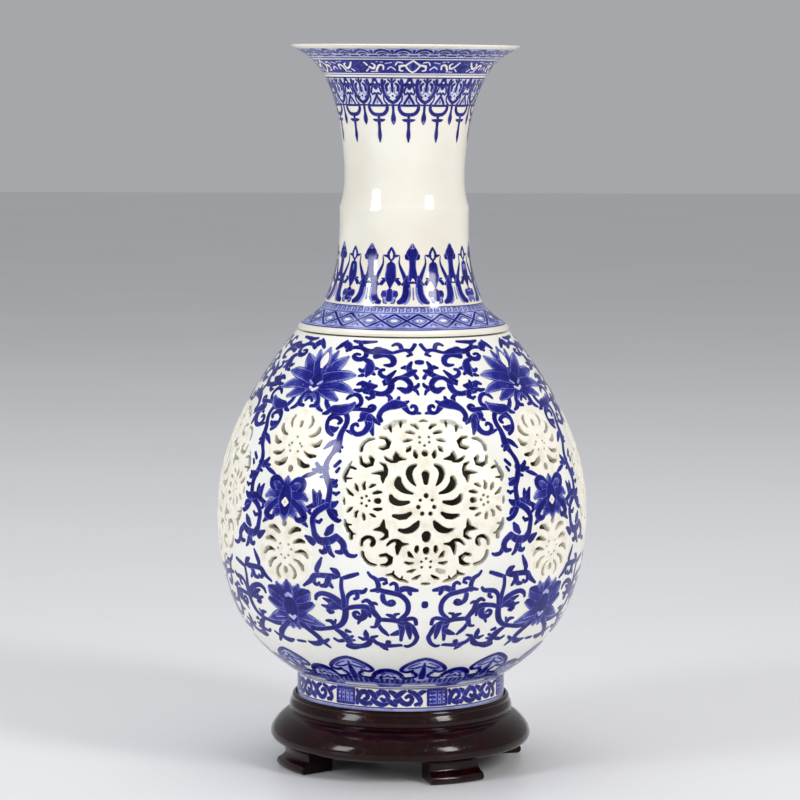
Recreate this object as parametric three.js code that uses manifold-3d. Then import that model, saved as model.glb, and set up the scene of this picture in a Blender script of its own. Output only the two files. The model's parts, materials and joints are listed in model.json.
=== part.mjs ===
// Porcelain vase with a turning inner vase, on a turned hardwood stand.
// Millimetres, +Z up, origin on the table plane under the middle of the stand.
// The four large openwork medallions face -Y, +X, +Y and -X.
import * as THREE from 'three';
import { mergeVertices } from 'three/addons/utils/BufferGeometryUtils.js';
import Module from 'manifold-3d';

const wasm = await Module();
wasm.setup();
const { Manifold, Mesh: ManifoldMesh } = wasm;

// ---- Driving dimensions -------------------------------------------------
const GAP = 0.3;                  // clearance between pieces that touch
const RUN_GAP = 0.7;              // clearance between pieces that turn or lift

const LEG_HEIGHT = 12;            // each wooden foot, table to stand ring
const RING_HEIGHT = 26.7;         // stand ring, underside to the collar's top edge
const STAND_RADIUS = 72.9;        // widest part of the stand ring
const SEAT_DEPTH = 9;             // how far the vase's foot sinks into the collar
const COLLAR_WALL = 2.6;
const BOARD_THICKNESS = 5;
const LEG_ARC = 26.5;             // degrees of the ring that one foot spans
const LEG_TURN = 20;              // degrees from a medallion axis to the nearest foot
const LEG_COUNT = 4;
const PEG_RADIUS = 3;
const PEG_LENGTH = 15;

const FOOT_RADIUS = 58;           // porcelain foot ring
const FOOT_HEIGHT = 21;           // porcelain foot, its resting edge to the ledge
const FOOT_WALL = 6;
const FLOOR_THICKNESS = 5;

const BELLY_RADIUS = 103;
const BELLY_HEIGHT = 191;
const BELLY_WALL = 4;
const MOUTH_RADIUS = 50.2;        // opening in the top of the belly
const BELLY_TOP_RADIUS = 58.5;
const BELLY_FOOT_RADIUS = 58.4;

const NECK_HEIGHT = 156.6;        // seam under the flange to the lip
const FLANGE_RADIUS = 58.9;
const WAIST_RADIUS = 33.25;
const LIP_RADIUS = 63.3;
const NECK_WALL = 3.7;
const SEAM = 0.8;                 // running gap between flange and belly

const INNER_RADIUS = MOUTH_RADIUS - 2.2;   // inner vase, it passes the belly's mouth
const INNER_WALL = 3.4;
const INNER_RIM_RADIUS = MOUTH_RADIUS - 7.8;
const TENON_LENGTH = 14;
const KEY_WIDTH = 7;
const KEY_HEIGHT = 6;
const PIVOT_RADIUS = 6;
const PIVOT_RISE = 15;

const PETAL_PAIRS = 5;            // petal cuts each side of a large flower's axis
const PETAL_INNER = 10;
const PETAL_OUTER = 21;
const SMALL_PAIRS = 3;            // the same for a small flower
const SMALL_INNER = 7;
const SMALL_OUTER = 16;

// ---- Levels derived from the sizes above --------------------------------
const ringZ = LEG_HEIGHT + GAP;
const collarZ = ringZ + RING_HEIGHT;
const seatZ = collarZ - SEAT_DEPTH;
const footZ = seatZ + GAP;
const ledgeZ = footZ + FOOT_HEIGHT;
const bellyZ = ledgeZ + GAP;
const mouthZ = bellyZ + BELLY_HEIGHT;
const neckZ = mouthZ + SEAM;
const rimZ = neckZ + 3;           // top edge of the inner vase, inside the flange

// ---- Helpers --------------------------------------------------------------
const at = (a, b, t) => a + (b - a) * t;

/** Solid of revolution about Z from a closed loop of [radius, z]. */
function turned(loop, segments, from = 0) {
  const position = [];
  const index = [];
  const rows = loop.map(([r, z]) => {
    const first = position.length / 3;
    const count = r < 1e-6 ? 1 : segments;
    for (let i = 0; i < count; i++) {
      const a = from + (i / segments) * Math.PI * 2;
      position.push(r < 1e-6 ? 0 : r * Math.cos(a), r < 1e-6 ? 0 : r * Math.sin(a), z);
    }
    return { first, count };
  });
  for (let k = 0; k < rows.length; k++) {
    const a = rows[k];
    const b = rows[(k + 1) % rows.length];
    if (a.count === 1 && b.count === 1) continue;
    for (let i = 0; i < segments; i++) {
      const j = (i + 1) % segments;
      const p = (row, n) => row.first + (row.count === 1 ? 0 : n);
      if (a.count > 1) index.push(p(a, i), p(a, j), p(b, i));
      if (b.count > 1) index.push(p(a, j), p(b, j), p(b, i));
    }
  }
  const g = new THREE.BufferGeometry();
  g.setAttribute('position', new THREE.Float32BufferAttribute(position, 3));
  g.setIndex(index);
  return g;
}

/** Right prism along +X from a counter-clockwise [y, z] polygon, x0 to x1. */
function prismX(points, x0, x1) {
  const n = points.length;
  const position = [];
  for (const x of [x0, x1]) for (const [y, z] of points) position.push(x, y, z);
  const index = [];
  for (let i = 1; i < n - 1; i++) {
    index.push(0, i + 1, i);
    index.push(n, n + i, n + i + 1);
  }
  for (let i = 0; i < n; i++) {
    const j = (i + 1) % n;
    index.push(i, j, n + j, i, n + j, n + i);
  }
  const g = new THREE.BufferGeometry();
  g.setAttribute('position', new THREE.Float32BufferAttribute(position, 3));
  g.setIndex(index);
  return g;
}

function toManifold(geometry) {
  const g = geometry.clone();
  g.deleteAttribute('normal');
  g.deleteAttribute('uv');
  const m = mergeVertices(g, 1e-4);
  return new Manifold(new ManifoldMesh({
    numProp: 3,
    vertProperties: new Float32Array(m.attributes.position.array),
    triVerts: new Uint32Array(m.index.array),
  }));
}

function fromManifold(solid) {
  const mesh = solid.getMesh();
  const g = new THREE.BufferGeometry();
  g.setAttribute('position', new THREE.BufferAttribute(new Float32Array(mesh.vertProperties), 3));
  g.setIndex(Array.from(mesh.triVerts));
  return g;
}

const group = new THREE.Group();
group.name = 'porcelain_vase';

function piece(name, geometry, color) {
  const flat = geometry.index ? geometry.toNonIndexed() : geometry;
  flat.computeVertexNormals();
  const material = new THREE.MeshStandardMaterial({ color, roughness: 0.35 });
  material.name = name + '_mat';
  const mesh = new THREE.Mesh(flat, material);
  mesh.name = name;
  group.add(mesh);
  return mesh;
}

const GLAZE = 0xe8e2d2;
const WOOD = 0x3a1512;

// ---- Stand ring with collar ----------------------------------------------
const collarIn = FOOT_RADIUS + RUN_GAP;
const collarOut = collarIn + COLLAR_WALL;
const boardR = FOOT_RADIUS - FOOT_WALL - 4;
const boardZ = seatZ - BOARD_THICKNESS;
const boreR = boardR - 6;
const s = STAND_RADIUS / 72.9;
const ringLoop = [
  [boreR, ringZ], [69.3 * s, ringZ], [71.6 * s, ringZ + 1.4], [STAND_RADIUS, ringZ + 3.6],
  [STAND_RADIUS, ringZ + 5.2], [72.2 * s, ringZ + 7.6], [70.7 * s, ringZ + 10.8],
  [68.2 * s, ringZ + 13.8], [64.8 * s, ringZ + 16.5], [collarOut - 0.2, ringZ + 17.3],
  [collarOut + 0.9, ringZ + 18.9], [collarOut + 1.1, ringZ + 20.6],
  [collarOut + 0.1, ringZ + 22.4], [collarOut - 0.5, ringZ + 25.6],
  [collarOut - 1.2, collarZ], [collarIn, collarZ],
  [collarIn, seatZ], [boardR + GAP, seatZ], [boardR + GAP, boardZ], [boreR, boardZ],
];
let ring = toManifold(turned(ringLoop, 48));

// ---- Feet and pegs --------------------------------------------------------
const pegOrbit = 59;
const pegZ = LEG_HEIGHT + GAP / 2 - PEG_LENGTH / 2;
const holeLoop = (z0, z1, r) => [[0, z0], [r, z0], [r, z1], [0, z1]];
const legLoop = [
  [49.5, 0], [69.2 * s, 0], [70.8 * s, 1.2], [71 * s, 2.8], [70 * s, 4.6], [67.6 * s, 5.8],
  [66.2 * s, 7.4], [66.2 * s, 9.2], [67.4 * s, LEG_HEIGHT], [48.5, LEG_HEIGHT],
];
const legRing = toManifold(turned(legLoop, 60));
const half = (LEG_ARC / 2) * Math.PI / 180;
const reach = 100;
const sector = new THREE.BufferGeometry();
{
  const y = reach * Math.tan(half);
  const p = [[0, 0], [reach, -y], [reach, y]];
  const position = [];
  for (const z of [-1, LEG_HEIGHT + 1]) for (const [px, py] of p) position.push(px, py, z);
  sector.setAttribute('position', new THREE.Float32BufferAttribute(position, 3));
  sector.setIndex([0, 2, 1, 3, 4, 5, 0, 1, 4, 0, 4, 3, 1, 2, 5, 1, 5, 4, 2, 0, 3, 2, 3, 5]);
}
const legBlock = legRing.intersect(toManifold(sector));
const legHole = toManifold(turned(holeLoop(pegZ - GAP, LEG_HEIGHT + 1, PEG_RADIUS + GAP), 12))
  .translate([pegOrbit, 0, 0]);
const legSolid = legBlock.subtract(legHole);
const pegLoop = [
  [0, pegZ], [PEG_RADIUS - 0.6, pegZ], [PEG_RADIUS, pegZ + 0.8],
  [PEG_RADIUS, pegZ + PEG_LENGTH - 0.8], [PEG_RADIUS - 0.6, pegZ + PEG_LENGTH],
  [0, pegZ + PEG_LENGTH],
];
const names = ['a', 'b', 'c', 'd'];
for (let i = 0; i < LEG_COUNT; i++) {
  const turn = -90 + LEG_TURN + (i * 360) / LEG_COUNT;
  piece('stand_foot_' + names[i], fromManifold(legSolid.rotate([0, 0, turn])), WOOD);
  const peg = toManifold(turned(pegLoop, 12)).translate([pegOrbit, 0, 0]).rotate([0, 0, turn]);
  piece('stand_peg_' + names[i], fromManifold(peg), 0x6b3a22);
  const hole = toManifold(
    turned(holeLoop(ringZ - 1, pegZ + PEG_LENGTH + GAP, PEG_RADIUS + GAP), 12))
    .translate([pegOrbit, 0, 0]).rotate([0, 0, turn]);
  ring = ring.subtract(hole);
}
piece('stand_ring', fromManifold(ring), WOOD);

// Seat board, let into the ring from above
piece('stand_board', turned([
  [0, boardZ + GAP], [boardR - 1, boardZ + GAP], [boardR, boardZ + GAP + 1],
  [boardR, seatZ - 0.6], [boardR - 0.6, seatZ], [0, seatZ],
], 32), 0x4a211a);

// ---- Vase base: foot ring, floor and the spigot the belly is cemented on --
const spigotR = BELLY_FOOT_RADIUS - 8.4 - GAP;
const floorZ = ledgeZ - FLOOR_THICKNESS;
piece('vase_base', turned([
  [PIVOT_RADIUS + GAP, floorZ], [FOOT_RADIUS - FOOT_WALL - 1.5, floorZ],
  [FOOT_RADIUS - FOOT_WALL, floorZ - 2], [FOOT_RADIUS - FOOT_WALL + 1, footZ + 1.2],
  [FOOT_RADIUS - FOOT_WALL + 2.2, footZ], [FOOT_RADIUS - 2, footZ],
  [FOOT_RADIUS - 0.6, footZ + 1.4], [FOOT_RADIUS, footZ + 8], [FOOT_RADIUS, ledgeZ - 0.6],
  [FOOT_RADIUS - 0.6, ledgeZ], [spigotR, ledgeZ], [spigotR, ledgeZ + 6],
  [spigotR - 4, ledgeZ + 6], [spigotR - 5, ledgeZ], [PIVOT_RADIUS + GAP, ledgeZ],
], 40), GLAZE);

// Pivot cone, cemented in the floor; the inner vase stands on its point
const coneZ = ledgeZ + GAP;
piece('pivot_cone', turned([
  [0, floorZ + GAP], [PIVOT_RADIUS, floorZ + GAP], [PIVOT_RADIUS, coneZ],
  [PIVOT_RADIUS + 5, coneZ], [PIVOT_RADIUS + 5, coneZ + 2.5], [PIVOT_RADIUS + 1, coneZ + 3.5],
  [PIVOT_RADIUS - 1.2, coneZ + PIVOT_RISE - 3], [PIVOT_RADIUS - 3.4, coneZ + PIVOT_RISE - 0.7],
  [0, coneZ + PIVOT_RISE],
], 16), 0xd9d2c0);

// ---- Inner vase ------------------------------------------------------------
const inZ = coneZ + 4.6;
const inH = rimZ - GAP - inZ;
const socketTop = coneZ + PIVOT_RISE + GAP;
const w = INNER_WALL;
const R = INNER_RADIUS;
const rimR = INNER_RIM_RADIUS;
const innerOutline = [
  [0.36 * R, 0], [0.40 * R, 0.012], [0.56 * R, 0.06], [0.76 * R, 0.15], [0.92 * R, 0.27],
  [R, 0.42], [R, 0.62], [0.985 * R, 0.78], [0.95 * R, 0.88], [rimR + 0.6, 0.94],
];
const innerBore = [
  [0.95 * R - w, 0.88], [0.985 * R - w, 0.78], [R - w, 0.62],
  [R - w, 0.42], [0.92 * R - w, 0.28], [0.70 * R - w * 0.7, 0.165], [0.42 * R, 0.122],
];
const inner = toManifold(turned([
  [PIVOT_RADIUS + 1.9, inZ], ...innerOutline.map(([r, t]) => [r, inZ + t * inH]),
  [rimR, inZ + inH * 0.96], [rimR, inZ + inH], [rimR - 3.6, inZ + inH],
  [rimR - 3.6, inZ + inH * 0.93],
  ...innerBore.map(([r, t]) => [r, inZ + t * inH]),
  [0, inZ + inH * 0.115],
  [0, socketTop], [PIVOT_RADIUS - 3.0, socketTop - 0.7],
  [PIVOT_RADIUS - 0.7, socketTop - 3.2],
], 36));
// Two notches in the rim take the keys of the neck
const notch = (grow, z0, z1, x0, x1) => toManifold(prismX([
  [-KEY_WIDTH / 2 - grow, z0], [KEY_WIDTH / 2 + grow, z0],
  [KEY_WIDTH / 2 + grow, z1], [-KEY_WIDTH / 2 - grow, z1],
], x0, x1));
const notchSolid = notch(GAP, rimZ - KEY_HEIGHT - GAP, rimZ + 2, rimR - 8, rimR + 3);
piece('inner_vase', fromManifold(
  inner.subtract(notchSolid).subtract(notchSolid.rotate([0, 0, 180]))), 0xcfc8b6);

// ---- Neck: flared mouth, flange, locating ring and keyed tenon -------------
const neckTop = neckZ + NECK_HEIGHT;
const up = (r) => WAIST_RADIUS + (r - 33.25) * (LIP_RADIUS - WAIST_RADIUS) / 30.05;
const down = (r) => WAIST_RADIUS + (r - 33.25) * (FLANGE_RADIUS - WAIST_RADIUS) / 25.65;
const h = (z) => neckZ + ((z - 243.6) / 156.6) * NECK_HEIGHT;
const tenonR = rimR - 3.6 - RUN_GAP;
const locateR = MOUTH_RADIUS - RUN_GAP;
const neckLoop = [
  // underside, from the tenon outwards
  [tenonR - 4, rimZ - TENON_LENGTH], [tenonR - 0.8, rimZ - TENON_LENGTH],
  [tenonR, rimZ - TENON_LENGTH + 1.2], [tenonR, rimZ],
  [rimR + RUN_GAP * 1.5, rimZ], [rimR + RUN_GAP * 1.5, neckZ - 5.5], [locateR - 1, neckZ - 5.5],
  [locateR, neckZ - 4.5], [locateR, neckZ],
  // flange and outside, upwards
  [FLANGE_RADIUS - 0.5, neckZ], [down(58.9), h(244.6)], [down(56.9), h(246.5)],
  [down(53.5), h(249.3)], [down(49.6), h(252.1)], [down(46.6), h(254.8)],
  [down(44.0), h(257.6)], [down(42.3), h(263.2)], [down(39.4), h(271.6)],
  [down(36.9), h(282.7)], [down(35.8), h(297)], [up(35.8), h(309)],
  [up(35.9), h(312)], [up(34.4), h(317.5)], [up(33.25), h(327.1)], [up(34.2), h(343.7)],
  [up(36.8), h(361.4)], [up(40.2), h(373.5)], [up(44.8), h(383.4)], [up(49.35), h(390)],
  [up(55.6), h(395.2)], [up(62.3), h(398.5)], [LIP_RADIUS, h(399.4)], [up(62.6), neckTop],
  // mouth and bore, downwards
  [up(58.6), h(399.2)], [up(49.9) - NECK_WALL * 0.7, h(393.4)], [up(43.0) - NECK_WALL, h(383.4)],
  [up(38.9) - NECK_WALL, h(373.5)], [up(36.2) - NECK_WALL, h(361.4)],
  [up(33.9) - NECK_WALL, h(343.7)], [up(33.25) - NECK_WALL, h(327.1)],
  [up(34.5) - NECK_WALL, h(309)], [down(36.0) - NECK_WALL, h(290)],
  [down(39.4) - NECK_WALL, h(269)],
  [Math.min(down(40) - NECK_WALL, tenonR - 1.8), h(262)],
];
const neckBody = toManifold(turned(neckLoop, 44));
const key = notch(0, rimZ - KEY_HEIGHT, rimZ + 1, tenonR - 2, rimR + 0.2);
piece('neck', fromManifold(neckBody.add(key).add(key.rotate([0, 0, 180]))), GLAZE);

// ---- Outer belly with openwork medallions ----------------------------------
const bellyMaxT = 0.462;
const shape = [            // [height fraction, 0 at the end radius .. 1 at the widest]
  [0.03, 0.17], [0.09, 0.47], [0.17, 0.75], [0.28, 0.92], [0.462, 1],
  [0.6, 0.95], [0.73, 0.765], [0.85, 0.505], [0.94, 0.21],
];
const bellyR = ([t, k]) =>
  at(t <= bellyMaxT ? BELLY_FOOT_RADIUS : BELLY_TOP_RADIUS, BELLY_RADIUS, k);
const bw = BELLY_WALL;
const outerRows = shape.map((p) => [bellyR(p), bellyZ + p[0] * BELLY_HEIGHT]);
const insideRows = shape.slice(1, -1).map(([t, k]) => {
  const lean = t < 0.2 ? 1.35 : t > 0.7 ? 1.25 : 1.04;
  return [bellyR([t, k]) - bw * lean, bellyZ + t * BELLY_HEIGHT];
}).reverse();
const bellySolid = toManifold(turned([
  [BELLY_FOOT_RADIUS - 8.4, bellyZ], [BELLY_FOOT_RADIUS, bellyZ], ...outerRows,
  [BELLY_TOP_RADIUS, mouthZ - 1], [BELLY_TOP_RADIUS - 1, mouthZ], [MOUTH_RADIUS, mouthZ],
  [MOUTH_RADIUS, mouthZ - 6.5], [MOUTH_RADIUS + 4, mouthZ - 8],
  ...insideRows, [BELLY_FOOT_RADIUS - 6, bellyZ + 7.5], [BELLY_FOOT_RADIUS - 8.4, bellyZ + 6.5],
], 48));

/** Six-sided petal from radius a to b about (u, v), pointing along angle q. */
function petal(u, v, a, b, width, q) {
  const c = Math.cos(q);
  const n = Math.sin(q);
  const along = [a, at(a, b, 0.35), at(a, b, 0.8), b, at(a, b, 0.8), at(a, b, 0.35)];
  const side = [0, -0.45, -0.5, 0, 0.5, 0.45];
  return along.map((l, i) => [u + l * c - side[i] * width * n, v + l * n + side[i] * width * c]);
}

const cuts = [];
/** A cut through the wall: offset u along the wall and v up from azimuth and level. */
function cut(azimuth, level, points) {
  const cu = points.reduce((sum, p) => sum + p[0], 0) / points.length;
  const angle = azimuth + cu / BELLY_RADIUS;
  const local = points.map(([u, v]) => [u - cu, v + level]);
  cuts.push(toManifold(prismX(local, BELLY_RADIUS * 0.78, BELLY_RADIUS + 6))
    .rotate([0, 0, (angle * 180) / Math.PI]));
}

const largeZ = bellyZ + 0.561 * BELLY_HEIGHT;
const upperZ = bellyZ + 0.704 * BELLY_HEIGHT;
const lowerZ = bellyZ + 0.413 * BELLY_HEIGHT;
const rad = Math.PI / 180;
for (let side = 0; side < 4; side++) {
  const azimuth = -Math.PI / 2 + (side * Math.PI) / 2;
  // large flower: pairs of petals mirrored about its upright axis
  for (let i = 0; i < PETAL_PAIRS; i++) {
    for (const mirror of [1, -1]) {
      const q = (90 + mirror * (22 + 32 * i)) * rad;
      cut(azimuth, largeZ, petal(0, 0, PETAL_INNER, PETAL_OUTER, 4.4, q));
    }
  }
  // one cut in each corner between the four side flowers
  for (let i = 0; i < 4; i++) {
    cut(azimuth, largeZ, petal(0, 0, 30, 40, 6, (45 + 90 * i) * rad));
  }
  // small flowers, the upper one upright and the lower one turned over
  for (const [level, turn] of [[upperZ, 0], [lowerZ, 180]]) {
    for (let i = 0; i < SMALL_PAIRS; i++) {
      for (const mirror of [1, -1]) {
        const q = (90 + turn + mirror * (30 + 50 * i)) * rad;
        cut(azimuth + Math.PI / 4, level, petal(0, 0, SMALL_INNER, SMALL_OUTER, 4.2, q));
      }
    }
  }
}
piece('outer_belly', fromManifold(bellySolid.subtract(Manifold.union(cuts))), GLAZE);

export default group;
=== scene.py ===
"""Blue-and-white turning vase with a pierced belly, on a lacquered stand."""

from __future__ import annotations

import json
import logging
import math
from dataclasses import dataclass, field, replace
from enum import Enum

import bpy
import numpy as np
from mathutils import Matrix, Vector

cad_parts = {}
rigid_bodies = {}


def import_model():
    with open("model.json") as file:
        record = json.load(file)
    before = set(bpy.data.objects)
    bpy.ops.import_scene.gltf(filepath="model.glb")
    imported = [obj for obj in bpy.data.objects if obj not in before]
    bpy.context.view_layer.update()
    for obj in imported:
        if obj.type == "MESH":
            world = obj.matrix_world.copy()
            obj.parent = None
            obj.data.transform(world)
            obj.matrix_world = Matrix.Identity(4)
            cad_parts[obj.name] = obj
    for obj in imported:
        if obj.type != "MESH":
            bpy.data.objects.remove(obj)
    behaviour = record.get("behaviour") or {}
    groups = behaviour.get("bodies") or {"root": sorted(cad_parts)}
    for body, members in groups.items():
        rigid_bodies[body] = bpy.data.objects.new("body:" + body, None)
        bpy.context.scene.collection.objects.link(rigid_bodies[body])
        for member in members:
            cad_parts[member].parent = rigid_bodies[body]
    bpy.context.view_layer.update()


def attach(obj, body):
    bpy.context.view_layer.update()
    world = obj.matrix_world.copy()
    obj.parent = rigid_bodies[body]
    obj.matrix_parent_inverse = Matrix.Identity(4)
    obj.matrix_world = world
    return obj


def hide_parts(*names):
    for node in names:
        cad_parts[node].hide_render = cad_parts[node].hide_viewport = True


LOG = logging.getLogger("vase")
MM = 0.001
Array = np.ndarray
Obj = bpy.types.Object


class Body(Enum):
    """The moving bodies of the vase and its stand."""

    STAND = "stand"
    OUTER = "outer_vase"
    ROTOR = "inner_rotor"
    NECK = "neck_piece"


# --------------------------------------------------------------------------
# Surfaces of revolution
# --------------------------------------------------------------------------


@dataclass(frozen=True)
class Profile:
    """Outside of a turned piece: (height, radius) stations in millimetres, from the bottom up."""

    stations: tuple[tuple[float, float], ...]
    degree: int = 0
    grid: Array = field(init=False, repr=False, compare=False)

    def __post_init__(self) -> None:
        """Fairs the stations to a close grid of height, radius and outward normal."""
        pts = np.array(self.stations, float)
        lo, hi = pts[0, 0], pts[-1, 0]
        if self.degree:
            z = np.linspace(lo, hi, 800)
            fit = np.polynomial.Polynomial.fit(pts[:, 0], pts[:, 1], self.degree)
            r = fit(z)
        else:
            path = smooth_path(pts, 40)
            z, r = path[:, 0], path[:, 1]
        dz, dr = np.gradient(z), np.gradient(r)
        size = np.hypot(dz, dr) + 1e-12
        grid = np.stack([z, r, dz / size, -dr / size])
        object.__setattr__(self, "grid", grid)

    def radius(self, z: Array) -> Array:
        """Radius at each height, in millimetres."""
        return np.interp(z, self.grid[0], self.grid[1])

    def normal(self, z: Array) -> tuple[Array, Array]:
        """Outward and upward parts of the normal at each height.

        Args:
            z: Heights in millimetres.

        Returns:
            The two parts, as arrays.
        """
        nr = np.interp(z, self.grid[0], self.grid[2])
        nz = np.interp(z, self.grid[0], self.grid[3])
        size = np.hypot(nr, nz)
        return nr / size, nz / size

    def place(self, theta: Array, z: Array, lift: float = 0.0) -> Array:
        """Points on the surface.

        Args:
            theta: Angles in degrees from the front, positive to the right.
            z: Heights in millimetres.
            lift: Distance proud of the surface in millimetres.

        Returns:
            An array of x, y, z rows in millimetres.
        """
        r = self.radius(z)
        nr, nz = self.normal(z)
        a = np.radians(theta)
        out = r + nr * lift
        return np.stack([out * np.sin(a), -out * np.cos(a), z + nz * lift], -1)

    def normals(self, theta: Array, z: Array) -> Array:
        """Outward unit normals at angles in degrees and heights in millimetres.

        Args:
            theta: Angles in degrees.
            z: Heights in millimetres.

        Returns:
            Rows of unit vectors.
        """
        nr, nz = self.normal(z)
        a = np.radians(theta)
        return np.stack([nr * np.sin(a), -nr * np.cos(a), nz], -1)

    @staticmethod
    def read(points: Array) -> tuple[Array, Array]:
        """Angle in degrees and height of points in space."""
        return np.degrees(np.arctan2(points[:, 0], -points[:, 1])), points[:, 2]


def smooth_path(points: Array, steps: int) -> Array:
    """A Catmull-Rom path through rows of numbers.

    Args:
        points: Control rows.
        steps: Samples for each stretch between two rows.

    Returns:
        The sampled rows, first and last included.
    """
    p = np.vstack([2 * points[0] - points[1], points, 2 * points[-1] - points[-2]])
    t = np.linspace(0, 1, steps, endpoint=False)[:, None]
    rows = []
    for i in range(1, len(p) - 2):
        a, b, c, d = p[i - 1], p[i], p[i + 1], p[i + 2]
        rows.append(0.5 * (2 * b + (c - a) * t + (2 * a - 5 * b + 4 * c - d) * t**2
                           + (3 * b - a - 3 * c + d) * t**3))
    rows.append(points[-1:])
    return np.vstack(rows)


BELLY = Profile(((51.6, 58.4), (56, 64.7), (60, 69.9), (66, 76.6), (72, 82.2), (80, 88.1),
                 (88, 92.4), (96, 95.7), (106, 98.9), (116, 101.0), (127, 102.5), (140, 103.0),
                 (153, 102.4), (165, 100.6), (177, 97.4), (188, 93.4), (199, 88.2),
                 (210, 82.1), (221, 75.3), (232, 67.5), (238, 62.9), (242.6, 58.9)), 8)
FOOT = Profile(((30.3, 57.7), (36, 58.0), (44, 58.0), (51.3, 58.0)))
NECK = Profile(((243.5, 58.2), (244.2, 58.75), (245.6, 58.3), (247.4, 55.8), (250.4, 51.6),
                (253.6, 47.7), (256.4, 44.9), (258.2, 43.9), (261, 43.1), (265.5, 41.3),
                (271, 39.5), (278, 37.8), (287, 36.5), (297, 35.9), (306, 35.85),
                (310.2, 35.95), (311.0, 35.9), (311.6, 35.6), (314, 34.95), (317.5, 34.15),
                (321, 33.6), (327, 33.3), (335, 33.5), (344, 34.3),
                (353, 35.4), (361.4, 36.9), (369, 38.8), (376, 41.3), (382, 44.1),
                (387, 47.3), (391, 50.6), (394.8, 55.2), (397.6, 60.2), (398.6, 62.5)))


# --------------------------------------------------------------------------
# Mesh tools
# --------------------------------------------------------------------------


def only(obj: Obj) -> None:
    """Deselects everything and makes one object active and selected.

    Args:
        obj: The object to work on.
    """
    if bpy.context.mode != "OBJECT":
        bpy.ops.object.mode_set(mode="OBJECT")
    bpy.ops.object.select_all(action="DESELECT")
    obj.select_set(True)
    bpy.context.view_layer.objects.active = obj


def turned(name: str, loop: list[tuple[float, float]], steps: int = 128, crisp: float = 40.0,
           arc: float = 360.0, start: float = 0.0) -> Obj:
    """Draws a closed outline point by point and spins it about the upright axis.

    Args:
        name: Name of the new piece.
        loop: Closed outline as (radius, height) in millimetres.
        steps: Segments of the spin.
        crisp: Edges sharper than this many degrees stay sharp.
        arc: Angle of the spin in degrees.
        start: Angle of the outline's plane from +X in degrees.

    Returns:
        The piece, with its place in its mesh.
    """
    turn = math.radians(start)
    flat = Vector((math.cos(turn), math.sin(turn), 0))
    bpy.ops.object.select_all(action="DESELECT")
    bpy.ops.mesh.primitive_plane_add(size=MM, location=(0, 0, 0))
    obj = bpy.context.active_object
    obj.name = obj.data.name = name
    bpy.ops.object.mode_set(mode="EDIT")
    bpy.ops.mesh.select_mode(type="VERT")
    bpy.ops.mesh.select_all(action="SELECT")
    bpy.ops.mesh.merge(type="CENTER")
    first = flat * (loop[0][0] * MM) + Vector((0, 0, loop[0][1] * MM))
    bpy.ops.transform.translate(value=first)
    for (r0, z0), (r1, z1) in zip(loop, loop[1:] + loop[:1]):
        step = flat * ((r1 - r0) * MM) + Vector((0, 0, (z1 - z0) * MM))
        bpy.ops.mesh.extrude_vertices_move(TRANSFORM_OT_translate={"value": step})
    bpy.ops.mesh.select_all(action="SELECT")
    bpy.ops.mesh.remove_doubles(threshold=4e-6)
    if arc < 360:
        bpy.ops.mesh.edge_face_add()
    bpy.ops.mesh.select_all(action="SELECT")
    bpy.ops.mesh.spin(steps=steps, angle=math.radians(arc), center=(0, 0, 0), axis=(0, 0, 1))
    bpy.ops.mesh.select_all(action="SELECT")
    bpy.ops.mesh.remove_doubles(threshold=4e-6)
    bpy.ops.mesh.dissolve_degenerate(threshold=2e-6)
    bpy.ops.mesh.select_all(action="SELECT")
    bpy.ops.mesh.normals_make_consistent(inside=False)
    bpy.ops.object.mode_set(mode="OBJECT")
    bpy.ops.object.shade_smooth_by_angle(angle=math.radians(crisp))
    return obj


def from_rows(name: str, verts: Array, faces: list[tuple[int, ...]] | Array) -> Obj:
    """A mesh object from points in millimetres and faces.

    Args:
        name: Name of the new piece.
        verts: Points in millimetres.
        faces: Indices of the points of each face.

    Returns:
        The new object, linked to the scene.
    """
    mesh = bpy.data.meshes.new(name)
    faces = faces.tolist() if isinstance(faces, np.ndarray) else faces
    mesh.from_pydata((verts * MM).tolist(), [], faces)
    mesh.update()
    obj = bpy.data.objects.new(name, mesh)
    bpy.context.scene.collection.objects.link(obj)
    return obj


def apply(obj: Obj, kind: str, **values: object) -> None:
    """Adds a modifier with these values and applies it.

    Args:
        obj: The object to change.
        kind: Blender's name for the kind of modifier.
        values: Settings of the modifier.
    """
    only(obj)
    mod = obj.modifiers.new(kind.lower(), kind)
    for key, value in values.items():
        setattr(mod, key, value)
    bpy.ops.object.modifier_apply(modifier=mod.name)


# --------------------------------------------------------------------------
# Brush strokes and cuts share one way of writing: "angle height width, ..."
# --------------------------------------------------------------------------


@dataclass(frozen=True)
class Stroke:
    """One brush stroke or cut: rows of angle (degrees), height and width (millimetres)."""

    rows: Array
    tone: float = 0.9
    petal: float = 0.0

    @classmethod
    def parse(cls, text: str) -> "Stroke":
        """Reads "tone|a z w, a z w"; a leading p marks a petal with dark edges and veins.

        Args:
            text: The written stroke.

        Returns:
            The stroke.
        """
        head, _, body = text.rpartition("|")
        rows = np.array([[float(n) for n in part.split()] for part in body.split(",")])
        if len(rows) == 1:
            rows = np.vstack([rows - [0.05, 0, 0], rows + [0.05, 0, 0]])
        tone = head.strip("p ")
        return cls(rows, float(tone) if tone else 0.9, 1.0 if "p" in head else 0.0)

    def moved(self, flip: bool, turn: float) -> "Stroke":
        """The stroke mirrored about the front and then turned by some degrees.

        Args:
            flip: Whether to mirror it.
            turn: Turn in degrees.

        Returns:
            The new stroke.
        """
        rows = self.rows.copy()
        if flip:
            rows[:, 0] *= -1
        rows[:, 0] += turn
        return replace(self, rows=rows)


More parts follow.
